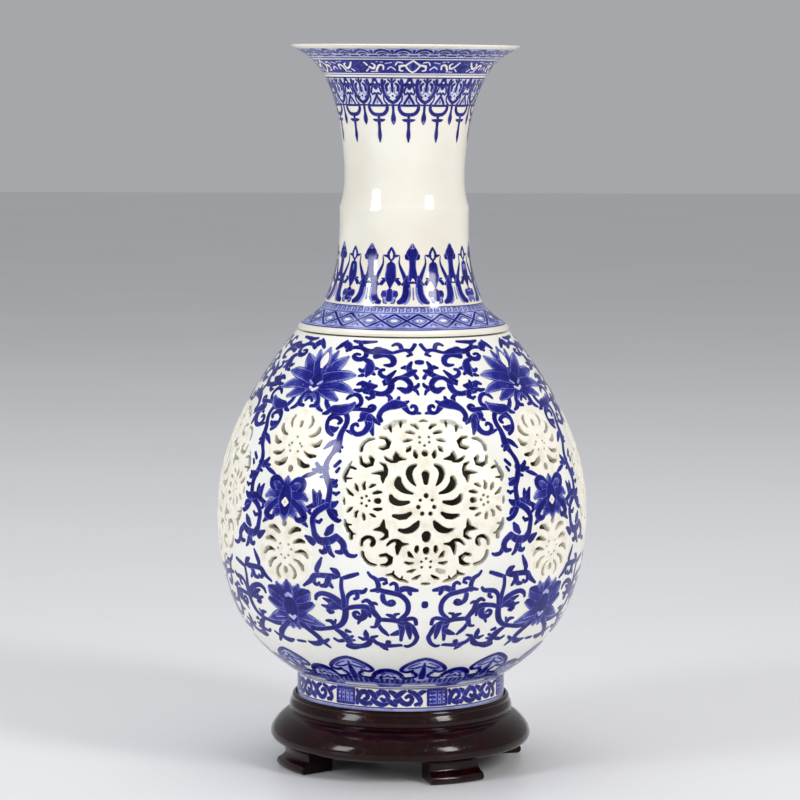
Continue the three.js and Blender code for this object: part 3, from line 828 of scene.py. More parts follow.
LOTUS_HOOKS = (
    "45 214 1.6,42 213 2,40.5 208 2,43.3 206.8 1.4", "43.4 209.4 1,44.2 210.9 1.6,45 211.2 1.6",
    "41 208.5 3,39.5 206 2,37.8 204.8 1",
    "43.5 166 1.5,42 168.3 2,40.2 168.8 3,38.7 167.3 3,39 164.5 2.6,40 163 2",
    "42 157 3,40 154.5 3.4,38.5 152 3.4,37.7 149.5 3.4,38.7 147.8 3,40.3 147.8 2,40.8 149 1",
    "38 147 2.6,36.5 144.8 .8", "41 106.5 2,39.5 108.5 4,37.2 109.3 1.5",
    "41.5 99 2,38.5 101 4,36.4 102.7 1.5",
    "42 90 3,40 87.5 2.6,37.5 84.5 3,36.3 82 3,37.2 79.7 3,39.5 79 3,41.5 79.8 1",
    "36 80.8 2.6,34.5 81 2,33 82.5 1.2", "35 80 2,33.3 77.5 .8", "43.3 79.5 1,45 79.5 1.6",
)

LOTUS_PETALS = (
    "45 219 6,41 221.2 7,35.6 222.6 6.6,30.8 223.4 5,27.8 223.4 1.6",
    "45 218 6,41 217.8 6.4,35.4 218 5.8,30.4 216.6 4.4,27.2 214.8 1.4",
    "45 217 5,41 215.8 6,36.6 213 5.4,33 210.8 2",
    "45 220 6,41.8 223.6 7.4,38 227.4 7.2,35.2 230.4 5,33.4 232.4 1.6",
    "45 221 6,43.4 226 6.6,41.6 230 6,40.2 233.2 3,39.6 235 1.2", "44.4 216 5,43 213.2 5.6,41.4 210.8 2.6",
    "45 219 8,45 225 8.6,45 230.4 8,45 234.4 4,45 236.4 1.4",
    "33 206 4.4,30 205.8 5.6,27 207.3 4.4,25.5 209.5 1.5",
    "45 158 6,41.6 160.2 6,39 160.2 5,37.2 158.8 2", "44.4 161 5,42.4 163.8 5.4,40.6 166 3.4,39.8 167.4 1.4",
    "45 161 6,45 165 6.4,45 168.6 3.4,45 169.8 1.2", "44 156 5,41.4 155.4 5.6,38.8 154.6 4.6,37 153.2 1.6",
    "44.4 154 5,42.2 151.6 5,40.8 149.2 2.4", "45 153 6,45 149.4 4.8,45 146.8 1.6",
    "44.4 103 5,42.6 106.4 7,41.2 110 5,40.8 112 1.6", "45 104 7,45 108.8 7.4,45 112.4 4.6,45 114 1.4",
    "43.6 100 6,40.8 102.6 6.6,38.2 106 5.4,37 108.6 1.8",
    "43.5 98.6 6,40.4 99.4 6.2,37 101 3,35.8 101.8 1.2",
    "43.5 96 6,40.6 95.2 5.6,37.4 93.2 2.4", "43 95 6,38.8 93 6.6,35 91.2 3,33.4 90.6 1.2",
    "44 93 6,41.6 90.4 5.6,39.6 88.4 2.4", "45 94 6,44.4 90.4 5,43.6 87.6 2",
)

LOTUS_CORES = (
    "45 220.4 7,45 217.6 7,45 214.4 3", "45 161.6 7,45 157 9,45 152.6 6", "45 104.5 6,45 99 10,45 93 6",
)

LOTUS_HEARTS = (
    "-0.4|45 227 1.6,45 229.4 4.2,45 232 3,45 233.6 1", "-0.5|44.1 156.5 1,45 158.3 1",
    "-0.5|44.1 156.5 1,45 154.9 1", "0.1|43.9 105.6 1.2,45 106.6 1.6", "0.0|43.8 94.4 1,45 93 1.4",
    "-0.2|43.2 216.2 .8,45 214.9 1", "0.1|42 219.4 .7,43.6 218 .7",
)

BLADES = (
    "0 284.8 4.4,0 287 6.6,0 289 5,0 290.4 3", "0.25|0 290.6 2.6,0 291.6 1.8",
    "2.4 285.4 4.4,3.9 285.3 3.7",
    "0 284.8 4.2,0 281 3.4,0 277 4.2,0 273.4 5.6", "-0.4|0 273 1.2,0 272.2 1.8",
    "0 271.5 1.5,1.8 271.4 1.4,3.6 270.7 .8",
    "5 271.4 2.6,7.3 275.4 2.1,9.7 279 1.6,11.2 282 .9,10.8 285.6 .5",
    "4.2 274.6 1.4,6.4 271.8 1.8,8.6 270.2 1",
    "4.7 273 2.4,5 270.4 3.7,4.9 267.4 4.2,5.6 264.4 4.3,7.8 262 3.9,10.6 261 2.6",
    "0.3|2.6 268.4 1,2.7 265 1.2,4.2 261.6 1.3,6.4 260 .8", "0.3|0 268.6 .6,0 262.4 .9",
)

STARS = (
    "0 290 1.2,1.6 288.3 1.3,2.8 286 1.6,1.6 284.2 1.1,0 283.2 1", "2.6 285.7 1.8,4.8 285.7 1.3,6.8 286.2 .5",
    "0 282.4 1.5", "0 280 5,0 277 5.6,0 273.6 5.8,0 271 3.4,0 268.2 .8", "0.35|0 280.2 .9,0 277.6 .5",
    "0.3|1.8 280 .8,1.8 277.4 .5", "3 273.6 1.6,5 272.6 2,7.2 270.8 2.2", "5.6 273.4 1.2,7 273.6 .7",
    "0 266.8 3,0 262.8 3.8", "0.7|1 264.6 3.4,4.2 265.2 3.6", "0.35|1 263 2.2,3 261.6 2.4",
    "0.9|2.6 266.9 .6,5.6 266.6 .7,5.9 264.4 .7,4.6 263.2 .6", "0.9|4.4 262.6 .6,4 260.6 .6,1.4 260.4 .5",
    "0.95|0 265 1.8,3.4 265.2 1", "0.3|0 267.9 .7,1 267.6 .6",
)

LAMBREQUIN_HEADS = (
    "7 383.2 1.8,7.4 379.8 1.8,6.4 376 1.8,3.4 372.8 1.8,0 371.3 1.8", "0 384 1.4,0 380.4 1.5,0 377.2 1.2",
    "0 381.4 1,2.4 383.4 1.2", "2.8 381.4 1.4,4.6 380 1.7,4 377.8 1.4", "4.8 382.8 1.2,6 381 1",
    "0 375 1.1", "2.6 374.2 1,4 375 .8", "0.3|1.6 379.4 .6,1.6 376.6 .6,3.6 375.6 .6",
    "0.35|5.4 378.6 .8,4.6 376 .8",
)

LAMBREQUIN_FLOWERS = (
    "0 383.2 3,0 380.8 4.4,0 379 2", "1.8 381.2 2.2,4.6 380.6 1.6,5.2 382.6 1", "-0.6|0 382 1",
    "2.8 379.6 1,4 377 1,3.4 375.4 .6", "1.2 376.4 1.4,3 375.8 .9", "0 376 1.4,0 374.6 1.6",
    "0 374.8 1.3,2 372.8 1.3,3.8 370.8 1.3",
    "5.4 375 .8,5.8 372.4 .9,7.6 371 1", "0.3|0 372.4 .9,0 371.4 1.1",
)

PENDANTS = (
    "8 370.2 1.6,7.6 367.2 1.9,5.2 364.8 2,2.4 364.1 2,0 364 2", "0 363.4 1.6,0 361.6 1.4",
    "0 360.4 1.9,3.2 360.5 1.6,5.1 360.8 .8", "0 360 1.9,0 356 1.5,0 351.4 2.2,0 347.8 .7",
    "7.6 370 1.4,4 369.8 1.2,0 369.8 1.2",
)

TASSELS = (
    "0 369.6 1.5,0 365.6 1.4,0 362 2.7,0 359.6 2.2,0 357.8 .6", "0.45|0 359.6 1,0 357.9 .5",
)

CLOUDS = (
    "1|4.5 396.7 1.1,3 397.4 1.9,0 397.8 2.1", "1|0 396.9 1.8,2.2 396.7 1.3",
    "1|5.6 397.5 1.4,5.8 396.6 1.1", "1|1.8 395.9 1,0 396.2 1.2", "1|3.6 395.8 1.2,5.8 395.8 1.1",
)

LIP_LOTUS = (
    "0 390.6 4.4", "0 393.2 1.8,0 388 1.8", "1.4 392.2 2,3.6 393.4 .9", "1.8 390.6 2,4.4 390.6 .8",
    "1.4 389 2,3.4 387.8 .8", "-0.5|4.8 393 .9,7.4 390.6 1.2,10.2 389.7 1.2,11.4 391.6 1,9.8 392.5 .8",
    "-0.4|4.6 388.2 .7,6.6 389.4 .7", "-0.5|12 388.8 1,14.4 391.5 1.2,17 391.2 1,16.6 389.2 .8",
    "-0.2|8 387.9 .6,12.6 388.1 .6", "-0.2|13 393.4 .6,17 393.2 .6", "1|12.6 392 .9,15 393.4 .8",
    "1|8 391.8 .8,5.8 390.4 .8", "1|13 390.4 1,15 389.6 .8",
)

LIP_BUDS = (
    "-0.5|0 394 1,2.4 392.6 1,4.4 391 .9,2.2 388.6 .9,0 387.6 .9", "1|0 391.2 2.6,0 389.6 1.6",
    "-0.5|5 391.4 1.2,8.4 390.8 1.6,8.6 388.8 1,6.6 388.4 .8", "-0.4|6.6 392.8 .8,9.6 393.2 .8,11 391.6 .7",
    "-0.3|11.6 389 .8,14 390.6 .8,16.4 389.4 .7", "1|9.8 391.6 1.1,9.8 389 1", "1|5.6 389.8 1,6.8 389.9 .8",
    "-0.2|13.4 393 .6,17.4 392.4 .6", "1|3 393.8 .9,5.4 393 .9", "1|3 387.8 .9,4.6 389 .8",
)

LOZENGES = (
    "1|-8 251.3 .9,-4 249.8 1,0 248.3 1,4 249.8 1,8 251.3 .9",
    "1|-8 251.3 .9,-4 252.9 1,0 254.4 1,4 252.9 1,8 251.3 .9",
    "0.6|-4.6 251.35 .6,-2.6 252.2 .6,0 253 .6,2.6 252.2 .6,4.6 251.35 .6",
    "0.6|-4.6 251.35 .6,-2.6 250.4 .6,0 249.7 .6,2.6 250.4 .6,4.6 251.35 .6",
    "-0.7|-1.2 251.35 1.1,1.2 251.35 1.1", "0.5|0 251.3 .7",
    "0.5|6 253.9 .6,7.9 252.7 .6,9.8 253.9 .6", "0.5|6 248.8 .6,7.9 250 .6,9.8 248.8 .6",
    "-0.2|7.2 254.3 .6,8.6 254.3 .6", "-0.2|7.2 248.5 .6,8.6 248.5 .6",
)

FRET = (
    "0.75|0 255.6 .5,0 257.6 .5,2.6 257.6 .5,2.6 256.3 .5,1.3 256.3 .5", "-0.2|3.8 257.4 .5,3.8 255.9 .5",
)

LAPPET_WASH = (
    "0.04|0 73.4 2.5,0 70.4 13,0 67.2 24,0 65.3 22,0 64.6 14", "0.04|0 65 8,0 61.6 4,0 59.6 8",
)

MOUND_WASH = ("0.45|15 63.4 7,15 61.8 14,15 60 18,15 58.8 20",)

LAPPETS = (
    "0 74.2 2,2.4 73.3 2.2,5 71.7 2.3,8 69.2 2.3,10 66 2.2,8.6 64.4 2.2,6.6 64.4 2,5 65.4 1.8",
    "6.2 65 1.6,4 63.6 1.8,2.8 61.6 1.8,4 60 1.9,9 59.3 1.8",
    "0 71 .8,0 67 2.2,0 62.5 4,0 59.6 3.4", "0.8|1 68.8 .8,3.4 67.4 1.2,6.4 67 .7",
    "0.6|2 71 .8,4.6 69.6 1,7 67.6 .8",
)

MOUNDS = (
    "1|9 61.4 2,10.8 63.2 2.7,13 64.4 3.1,15 64.7 3.2",
    "0|10.4 60.2 .9,11.8 61.5 .9", "0|13.2 60.6 .9,15 62 .9", "0|9 58.8 .8,10.8 59.3 .8",
    "0|13 58.9 .8,15 59.6 .8", "1|11.4 59.6 .9,12.8 60.3 .9", "1|14 60 .9,15 60.9 .9",
    "1|8 59.4 1,9.4 60.4 .9", "1|7 58.4 1,8.6 58.9 1",
)

ROOTS = (
    "0 59.4 2.4,0 56.4 1.6", "2.6 59.4 2.2,2.3 56.4 1.4", "5 59.2 2,4.8 56.4 1.4",
    "-2.4 59.2 2.2,-2.7 56.4 1.4", "0.3|1.3 58.6 .6,1.2 56.8 .5", "0.3|3.8 58.6 .6,3.6 56.8 .5",
)

FOOT_BLOCKS = (
    "-30 42.2 1.6,-27.6 45 2.4,-24.4 48.6 2.6,-20.6 49 2.4,-18.4 46.4 2.2,-20.4 44.4 2,-22.6 45.4 1.5",
    "-26.6 46.2 2.4,-29 48.6 2.2,-31 49.6 1", "-24.2 48.4 2,-23.4 50.2 1",
    "-28 44.4 2,-25 42.8 2.4,-21.8 42.2 2,-19 42.8 1.2", "-18.6 45.4 1.6,-16.4 43.4 2.2,-13.6 42.2 1.8",
    "-17.4 49.6 1.4,-14.6 48.4 2.4,-11.8 45.8 2.6,-8.6 43.2 2.4,-5 43 2.2,-3.2 45.6 2,-5.2 47.4 1.8,"
    "-7.2 46.4 1.3", "-12.8 47.2 2.6,-10 49 2.2,-7.6 49.9 1", "-11 45 2,-13 43.8 1.8,-14.6 44.8 1",
    "-5.4 49.9 1.2,-2.4 48.9 2,.4 46.8 2.4,2.2 44 2.2,1.4 42 1", "0 47.4 2.2,3 49.2 2,5.2 49.6 1",
    "-1 42.4 1.6,1.6 43.2 1.6", "7 50 1.1,7 42 1.1", "19 50 1.1,19 42 1.1", "7 50 1.1,19 50 1.1",
    "7 42 1.1,19 42 1.1", "0.62|9 48.5 1.6,17.2 48.5 1.6", "0.62|9 46.2 1.6,17.2 46.2 1.6",
    "0.62|9 43.8 1.6,17.2 43.8 1.6", "0.62|10 49 1,10 43 1", "0.62|13 49 1,13 43 1",
    "0.62|16 49 1,16 43 1", "21.4 42.4 1.6,22 45.8 2.4,24.6 48.8 2.4,27.8 48.4 2.2,28.4 45.8 2,26.2 44.6 1.6",
    "22.6 47.4 2,21.2 49.6 1.2", "24 43.4 2.2,27 42.4 2.4,29.4 43 1.6",
)

LOZENGE_FIT = Fit(width=1.25)
WASH_FIT = Fit(turn=0.91, width=0.9, marks=((55.0, 55.48), (79.0, 76.6)))
LAPPET_FIT = Fit(turn=0.91, width=0.86, marks=((55.0, 55.48), (79.0, 76.6)))
FOOT_FIT = Fit(turn=6 / 7)
LIP_FIT = Fit(marks=((340.0, 340.0), (357.8, 356.9), (369.6, 366.9), (384.1, 381.7),
                     (387.0, 384.5), (394.4, 391.7), (395.4, 393.2), (398.2, 397.7)))
LIP_LINES = ((384.1, 384.8, 0.8, 1), (386.0, 386.4, 0.5, 1), (387.0, 394.4, 0.62, 0),
             (394.8, 395.2, 0.6, 1), (395.4, 398.2, 0.04, 0), (369.6, 370.5, 0.9, 1),
             (370.7, 384.0, -0.28, 0))


# --------------------------------------------------------------------------
# Finishes
# --------------------------------------------------------------------------


def ink(r: int, g: int, b: int) -> tuple[float, float, float, float]:
    """A colour in 0 to 255 steps as the linear colour that a shader takes."""
    def lin(v: float) -> float:
        """One channel made linear."""
        v /= 255
        return v / 12.92 if v <= 0.04045 else ((v + 0.055) / 1.055) ** 2.4
    return (lin(r), lin(g), lin(b), 1.0)


class Weave:
    """A small helper that adds and joins nodes in one node tree."""

    def __init__(self, tree: bpy.types.NodeTree) -> None:
        """Works on a node tree."""
        self.tree = tree

    def add(self, kind: str, inputs: dict | None = None, **settings: object) -> bpy.types.Node:
        """Adds a node with settings; an input may be a value or a socket to join.

        Args:
            kind: Blender's name for the kind of node.
            inputs: Values or sockets by the name or place of the input.
            settings: Settings of the node itself.

        Returns:
            The new node.
        """
        node = self.tree.nodes.new(kind)
        for key, value in settings.items():
            setattr(node, key, value)
        for key, value in (inputs or {}).items():
            if isinstance(value, bpy.types.NodeSocket):
                self.tree.links.new(value, node.inputs[key])
            else:
                node.inputs[key].default_value = value
        return node

    def math(self, op: str, a: object, b: object = 0.0, c: object = 0.0) -> bpy.types.NodeSocket:
        """A sum on one, two or three values."""
        return self.add("ShaderNodeMath", {0: a, 1: b, 2: c}, operation=op).outputs[0]

    def span(self, value: object, lo: float, hi: float, a: float = 0.0, b: float = 1.0,
             smooth: bool = True) -> bpy.types.NodeSocket:
        """Spreads lo..hi over a..b, softly by default."""
        kind = "SMOOTHSTEP" if smooth else "LINEAR"
        return self.add("ShaderNodeMapRange", {0: value, 1: lo, 2: hi, 3: a, 4: b},
                        interpolation_type=kind).outputs[0]

    def mix(self, t: object, a: object, b: object) -> bpy.types.NodeSocket:
        """Blends two colours.

        Args:
            t: Share of the second colour.
            a: First colour.
            b: Second colour.

        Returns:
            The mixed colour.
        """
        node = self.add("ShaderNodeMix", data_type="RGBA")
        for slot, value in ((0, t), (6, a), (7, b)):
            if isinstance(value, bpy.types.NodeSocket):
                self.tree.links.new(value, node.inputs[slot])
            else:
                node.inputs[slot].default_value = value
        return node.outputs[2]

    def place(self) -> bpy.types.NodeSocket:
        """The position on the piece in metres."""
        return self.add("ShaderNodeTexCoord").outputs["Object"]

    def noise(self, scale: float, detail: float = 2.0, at: object = None,
              rough: float = 0.5) -> bpy.types.NodeSocket:
        """Cloudy variation; the scale is in cycles for each metre."""
        where = at if at is not None else self.place()
        return self.add("ShaderNodeTexNoise", {"Vector": where, "Scale": scale, "Detail": detail,
                                               "Roughness": rough}).outputs[0]


class Effects:
    """Node groups that several finishes share, each made once."""

    made: dict[str, bpy.types.NodeTree] = {}

    @classmethod
    def group(cls, name: str, inputs: dict[str, float],
              outputs: tuple[str, ...]) -> tuple[Weave, dict, bpy.types.Node]:
        """Starts a node group with float inputs and outputs.

        Returns:
            The helper on its tree, its input sockets by name and its output node.
        """
        tree = bpy.data.node_groups.new(name, "ShaderNodeTree")
        for key, value in inputs.items():
            sock = tree.interface.new_socket(key, in_out="INPUT", socket_type="NodeSocketFloat")
            sock.default_value = value
        for key in outputs:
            tree.interface.new_socket(key, in_out="OUTPUT", socket_type="NodeSocketFloat")
        w = Weave(tree)
        source = tree.nodes.new("NodeGroupInput")
        sink = tree.nodes.new("NodeGroupOutput")
        cls.made[name] = tree
        return w, {key: source.outputs[key] for key in inputs}, sink

    @classmethod
    def glaze_depth(cls) -> bpy.types.NodeTree:
        """Soft waves, fine pinholes and uneven gloss of a thick clear glaze.

        Returns:
            The node group.
        """
        if "glaze_depth" in cls.made:
            return cls.made["glaze_depth"]
        w, put, sink = cls.group("glaze_depth", {"Wave": 1.0, "Pinholes": 1.0, "Gloss": 0.07},
                                 ("Height", "Roughness", "Cloud"))
        p = w.place()
        wave = w.math("MULTIPLY", w.noise(70, 2, p), put["Wave"])
        dots = w.add("ShaderNodeTexVoronoi", {"Vector": p, "Scale": 420.0}).outputs[0]
        pits = w.math("MULTIPLY", w.span(dots, 0.05, 0.13, -1.0, 0.0), put["Pinholes"])
        rare = w.span(w.noise(55, 1, p), 0.60, 0.68)
        height = w.math("ADD", wave, w.math("MULTIPLY", pits, w.math("MULTIPLY", rare, 0.18)))
        cloud = w.noise(24, 3, p)
        w.tree.links.new(height, sink.inputs["Height"])
        rough = w.math("MULTIPLY_ADD", cloud, 0.06, put["Gloss"])
        w.tree.links.new(rough, sink.inputs["Roughness"])
        w.tree.links.new(cloud, sink.inputs["Cloud"])
        return w.tree

    @classmethod
    def wood_grain(cls) -> bpy.types.NodeTree:
        """Stretched grain lines and pores of turned hardwood.

        Returns:
            The node group.
        """
        if "wood_grain" in cls.made:
            return cls.made["wood_grain"]
        w, put, sink = cls.group("wood_grain", {"Scale": 1.0, "Stretch": 6.0}, ("Grain", "Pores"))
        p = w.place()
        size = w.add("ShaderNodeCombineXYZ", {0: put["Stretch"], 1: 1.0, 2: put["Stretch"]}).outputs[0]
        drawn = w.add("ShaderNodeVectorMath", {0: p, 1: size}, operation="MULTIPLY").outputs[0]
        drawn = w.add("ShaderNodeVectorMath", {0: drawn, 3: put["Scale"]}, operation="SCALE").outputs[0]
        grain = w.noise(28, 5, drawn, 0.65)
        pores = w.span(w.noise(160, 2, drawn), 0.58, 0.72)
        w.tree.links.new(grain, sink.inputs["Grain"])
        w.tree.links.new(pores, sink.inputs["Pores"])
        return w.tree


@dataclass(frozen=True)
class Finish:
    """A finish: makes one material when asked, with its sizes as fields."""

    name: str

    def start(self) -> tuple[bpy.types.Material, Weave, bpy.types.Node]:
        """A new node material with its shader node.

        Returns:
            The material, its node tree and its shader node.
        """
        mat = bpy.data.materials.new(self.name)
        mat.use_nodes = True
        shader = mat.node_tree.nodes["Principled BSDF"]
        return mat, Weave(mat.node_tree), shader

    @staticmethod
    def join(w: Weave, shader: bpy.types.Node, color: bpy.types.NodeSocket,
             rough: bpy.types.NodeSocket, height: bpy.types.NodeSocket, depth: float) -> None:
        """Joins colour, roughness and a bump in metres to the shader.

        Args:
            w: The node tree.
            shader: The shader node.
            color: Base colour.
            rough: Roughness.
            height: Height of the bump, without a unit.
            depth: Height of the bump in metres.
        """
        w.tree.links.new(color, shader.inputs["Base Color"])
        w.tree.links.new(rough, shader.inputs["Roughness"])
        bump = w.add("ShaderNodeBump", {"Height": height, "Strength": 1.0, "Distance": depth})
        w.tree.links.new(bump.outputs[0], shader.inputs["Normal"])

    def glaze(self, w: Weave, gloss: float, wave: float = 1.0) -> bpy.types.Node:
        """The shared glaze effect with this finish's gloss.

        Args:
            w: The node tree.
            gloss: Roughness of the glaze.
            wave: Strength of its slow ripple.

        Returns:
            The effect as one node.
        """
        node = w.add("ShaderNodeGroup", node_tree=Effects.glaze_depth())
        node.inputs["Gloss"].default_value = gloss
        node.inputs["Wave"].default_value = wave
        return node


@dataclass(frozen=True)
class ClearGlaze(Finish):
    """Cream porcelain under a clear, glossy glaze."""

    cream: tuple[int, int, int] = (240, 236, 223)
    shade: tuple[int, int, int] = (232, 226, 210)
    gloss: float = 0.07

    def make(self) -> bpy.types.Material:
        """The material.

        Returns:
            The material.
        """
        mat, w, shader = self.start()
        g = self.glaze(w, self.gloss)
        color = w.mix(w.span(g.outputs["Cloud"], 0.35, 0.7), ink(*self.cream), ink(*self.shade))
        self.join(w, shader, color, g.outputs["Roughness"], g.outputs["Height"], 0.00006)
        shader.inputs["IOR"].default_value = 1.5
        shader.inputs["Coat Weight"].default_value = 0.35
        shader.inputs["Coat Roughness"].default_value = 0.04
        return mat


@dataclass(frozen=True)
class PiercedGlaze(ClearGlaze):
    """The belly's glaze: glossy outside, ivory and softer on the pierced medallions."""

    cream: tuple[int, int, int] = (241, 241, 236)
    shade: tuple[int, int, int] = (234, 233, 224)
    ivory: tuple[int, int, int] = (245, 241, 228)
    discs: tuple[tuple[float, float, float], ...] = (
        (0.0, 158.8, 44.5), (45.0, 186.5, 18.5), (45.0, 130.5, 18.5))

    def mask(self, w: Weave) -> bpy.types.NodeSocket:
        """One inside the pierced medallions and nought elsewhere.

        Args:
            w: The node tree.

        Returns:
            The mask.
        """
        p = w.add("ShaderNodeSeparateXYZ", {0: w.place()})
        round_ = w.math("ARCTAN2", p.outputs[0], w.math("MULTIPLY", p.outputs[1], -1.0))
        quarter = math.pi / 2
        turn = w.math("FLOORED_MODULO", w.math("ADD", round_, quarter / 2), quarter)
        off = w.math("ABSOLUTE", w.math("SUBTRACT", turn, quarter / 2))
        total = None
        for angle, height, radius in self.discs:
            wide = BELLY.radius(np.array([height]))[0]
            across = w.math("MULTIPLY", w.math("SUBTRACT", off, math.radians(angle)), float(wide))
            rise = w.math("MULTIPLY_ADD", p.outputs[2], 1000.0, -height)
            far = w.math("SQRT", w.math("ADD", w.math("MULTIPLY", across, across),
                                        w.math("MULTIPLY", rise, rise)))
            part = w.span(far, radius - 0.5, radius + 0.5, 1.0, 0.0)
            total = part if total is None else w.math("MAXIMUM", total, part)
        return total

    def make(self) -> bpy.types.Material:
        """The material.

        Returns:
            The material.
        """
        mat, w, shader = self.start()
        g = self.glaze(w, self.gloss)
        inside = self.mask(w)
        soot = w.noise(160, 3)
        color = w.mix(w.span(g.outputs["Cloud"], 0.35, 0.7), ink(*self.cream), ink(*self.shade))
        ivory = w.mix(w.span(soot, 0.45, 0.75), ink(*self.ivory), ink(229, 222, 201))
        color = w.mix(inside, color, ivory)
        rough = w.math("MULTIPLY_ADD", inside, 0.24, g.outputs["Roughness"])
        height = w.math("ADD", g.outputs["Height"], w.math("MULTIPLY", w.math("MULTIPLY", inside, soot), 0.4))
        self.join(w, shader, color, rough, height, 0.00006)
        shader.inputs["IOR"].default_value = 1.5
        return mat


@dataclass(frozen=True)
class Cobalt(Finish):
    """Cobalt painting under the glaze, pale wash to deep blue, with pooled edges."""

    bare: tuple[int, int, int] = (240, 236, 224)
    pale: tuple[int, int, int] = (158, 166, 218)
    mid: tuple[int, int, int] = (34, 36, 144)
    deep: tuple[int, int, int] = (2, 1, 88)
    gloss: float = 0.07

    def make(self) -> bpy.types.Material:
        """The material: tone and petal come from the strokes, across and along from their map.

        Returns:
            The material.
        """
        mat, w, shader = self.start()
        g = self.glaze(w, self.gloss)
        tone = w.add("ShaderNodeAttribute", attribute_name="tone").outputs["Fac"]
        petal = w.add("ShaderNodeAttribute", attribute_name="petal").outputs["Fac"]
        uv = w.add("ShaderNodeSeparateXYZ", {0: w.add("ShaderNodeUVMap", uv_map="brush").outputs[0]})
        off = w.math("ABSOLUTE", w.math("SUBTRACT", uv.outputs[0], 0.5))
        brush = w.math("MULTIPLY", w.math("SUBTRACT", 1.0, petal), w.span(tone, 0.5, 0.6))
        wet = w.math("MULTIPLY", w.span(off, 0.28, 0.5, 0.0, 0.5), brush)
        drift = w.span(w.noise(130, 3), 0.3, 0.75, -0.20, 0.10)
        speck = w.span(w.noise(900, 2), 0.3, 0.7, -0.05, 0.05)
        value = w.math("SUBTRACT", w.math("ADD", w.math("ADD", tone, drift), speck), wet)
        lines = w.math("SINE", w.math("MULTIPLY", uv.outputs[0], 44.0))
        veins = w.span(lines, 0.2, 0.9, 0.0, 0.22)
        fade = w.span(uv.outputs[1], 0.3, 1.0, 0.0, 0.38)
        rim = w.span(off, 0.20, 0.42, 0.0, 0.36)
        line = w.span(off, 0.43, 0.47, 0.0, 0.8)
        leaf = w.math("SUBTRACT", w.math("ADD", w.math("ADD", veins, fade), rim), line)
        value = w.math("SUBTRACT", value, w.math("MULTIPLY", leaf, petal))
        low = w.mix(w.span(value, -0.55, 0.0, smooth=False), ink(*self.bare), ink(*self.pale))
        low = w.mix(w.span(value, 0.0, 0.5, smooth=False), low, ink(*self.mid))
        color = w.mix(w.span(value, 0.5, 1.0, smooth=False), low, ink(*self.deep))
        self.join(w, shader, color, g.outputs["Roughness"], g.outputs["Height"], 0.00006)
        shader.inputs["IOR"].default_value = 1.47
        shader.inputs["Specular IOR Level"].default_value = 0.34
        return mat


@dataclass(frozen=True)
class BiscuitInPaintedShade(Finish):
    """Unglazed or thinly glazed porcelain, seen only through the openwork, in greys darkened as painted shade
    for the dim inside of the belly.
    """

    # painted shade: mid greys stand for pale porcelain lying in the shadow inside the belly
    light: tuple[int, int, int] = (150, 146, 134)
    dark: tuple[int, int, int] = (122, 116, 102)
    rough: float = 0.5

    def make(self) -> bpy.types.Material:
        """The material.

        Returns:
            The material.
        """
        mat, w, shader = self.start()
        cloud = w.noise(60, 4)
        color = w.mix(w.span(cloud, 0.3, 0.7), ink(*self.light), ink(*self.dark))
        rough = w.math("MULTIPLY_ADD", cloud, 0.15, self.rough - 0.08)
        self.join(w, shader, color, rough, w.noise(300, 3), 0.00008)
        return mat


@dataclass(frozen=True)
class Lacquer(Finish):
    """Very dark red-brown lacquer over turned hardwood, polished."""

    deep: tuple[int, int, int] = (23, 2, 3)
    warm: tuple[int, int, int] = (41, 5, 5)
    gloss: float = 0.09
    coat: float = 0.12

    def make(self) -> bpy.types.Material:
        """The material.

        Returns:
            The material.
        """
        mat, w, shader = self.start()
        grain = w.add("ShaderNodeGroup", node_tree=Effects.wood_grain())
        lines, pores = grain.outputs["Grain"], grain.outputs["Pores"]
        color = w.mix(w.span(lines, 0.42, 0.72), ink(*self.deep), ink(*self.warm))
        color = w.mix(w.math("MULTIPLY", pores, 0.6), color, ink(12, 3, 4))
        dust = w.span(w.noise(420, 3), 0.62, 0.8, 0.0, 0.12)
        rough = w.math("ADD", w.math("MULTIPLY_ADD", lines, 0.16, self.gloss - 0.04), dust)
        height = w.math("SUBTRACT", w.noise(90, 3), w.math("MULTIPLY", pores, 0.35))
        self.join(w, shader, color, rough, height, 0.00012)
        shader.inputs["Specular IOR Level"].default_value = 0.2
        shader.inputs["Coat Weight"].default_value = self.coat
        shader.inputs["Coat Roughness"].default_value = 0.03
        return mat


def dress(obj: Obj, mat: bpy.types.Material) -> None:
    """Gives a piece one material; a carried-over node keeps its mesh and takes it in its slots."""
    if obj.material_slots:
        for s in obj.material_slots:
            s.material = mat
    else:
        obj.data.materials.append(mat)


# --------------------------------------------------------------------------
# The object's own sub-assemblies
# --------------------------------------------------------------------------


def along(on: Profile, lo: float, hi: float, step: float, inset: float = 0.0) -> list[tuple[float, float]]:
    """Points up a profile at even steps, as (radius, height), moved inwards if wanted.

    Args:
        on: The surface.
        lo: Lowest height in millimetres.
        hi: Highest height in millimetres.
        step: Length of each stretch in millimetres.
        inset: Distance inside the surface in millimetres.

    Returns:
        The points as (radius, height) in millimetres.
    """
    z, r, nr, nz = on.grid
    keep = (z >= lo) & (z <= hi)
    z, r, nr, nz = z[keep], r[keep], nr[keep], nz[keep]
    run = np.concatenate([[0], np.cumsum(np.hypot(np.diff(z), np.diff(r)))])
    marks = np.linspace(0, run[-1], int(run[-1] / step) + 1)
    return [(float(np.interp(m, run, r - nr * inset)), float(np.interp(m, run, z - nz * inset)))
            for m in marks]


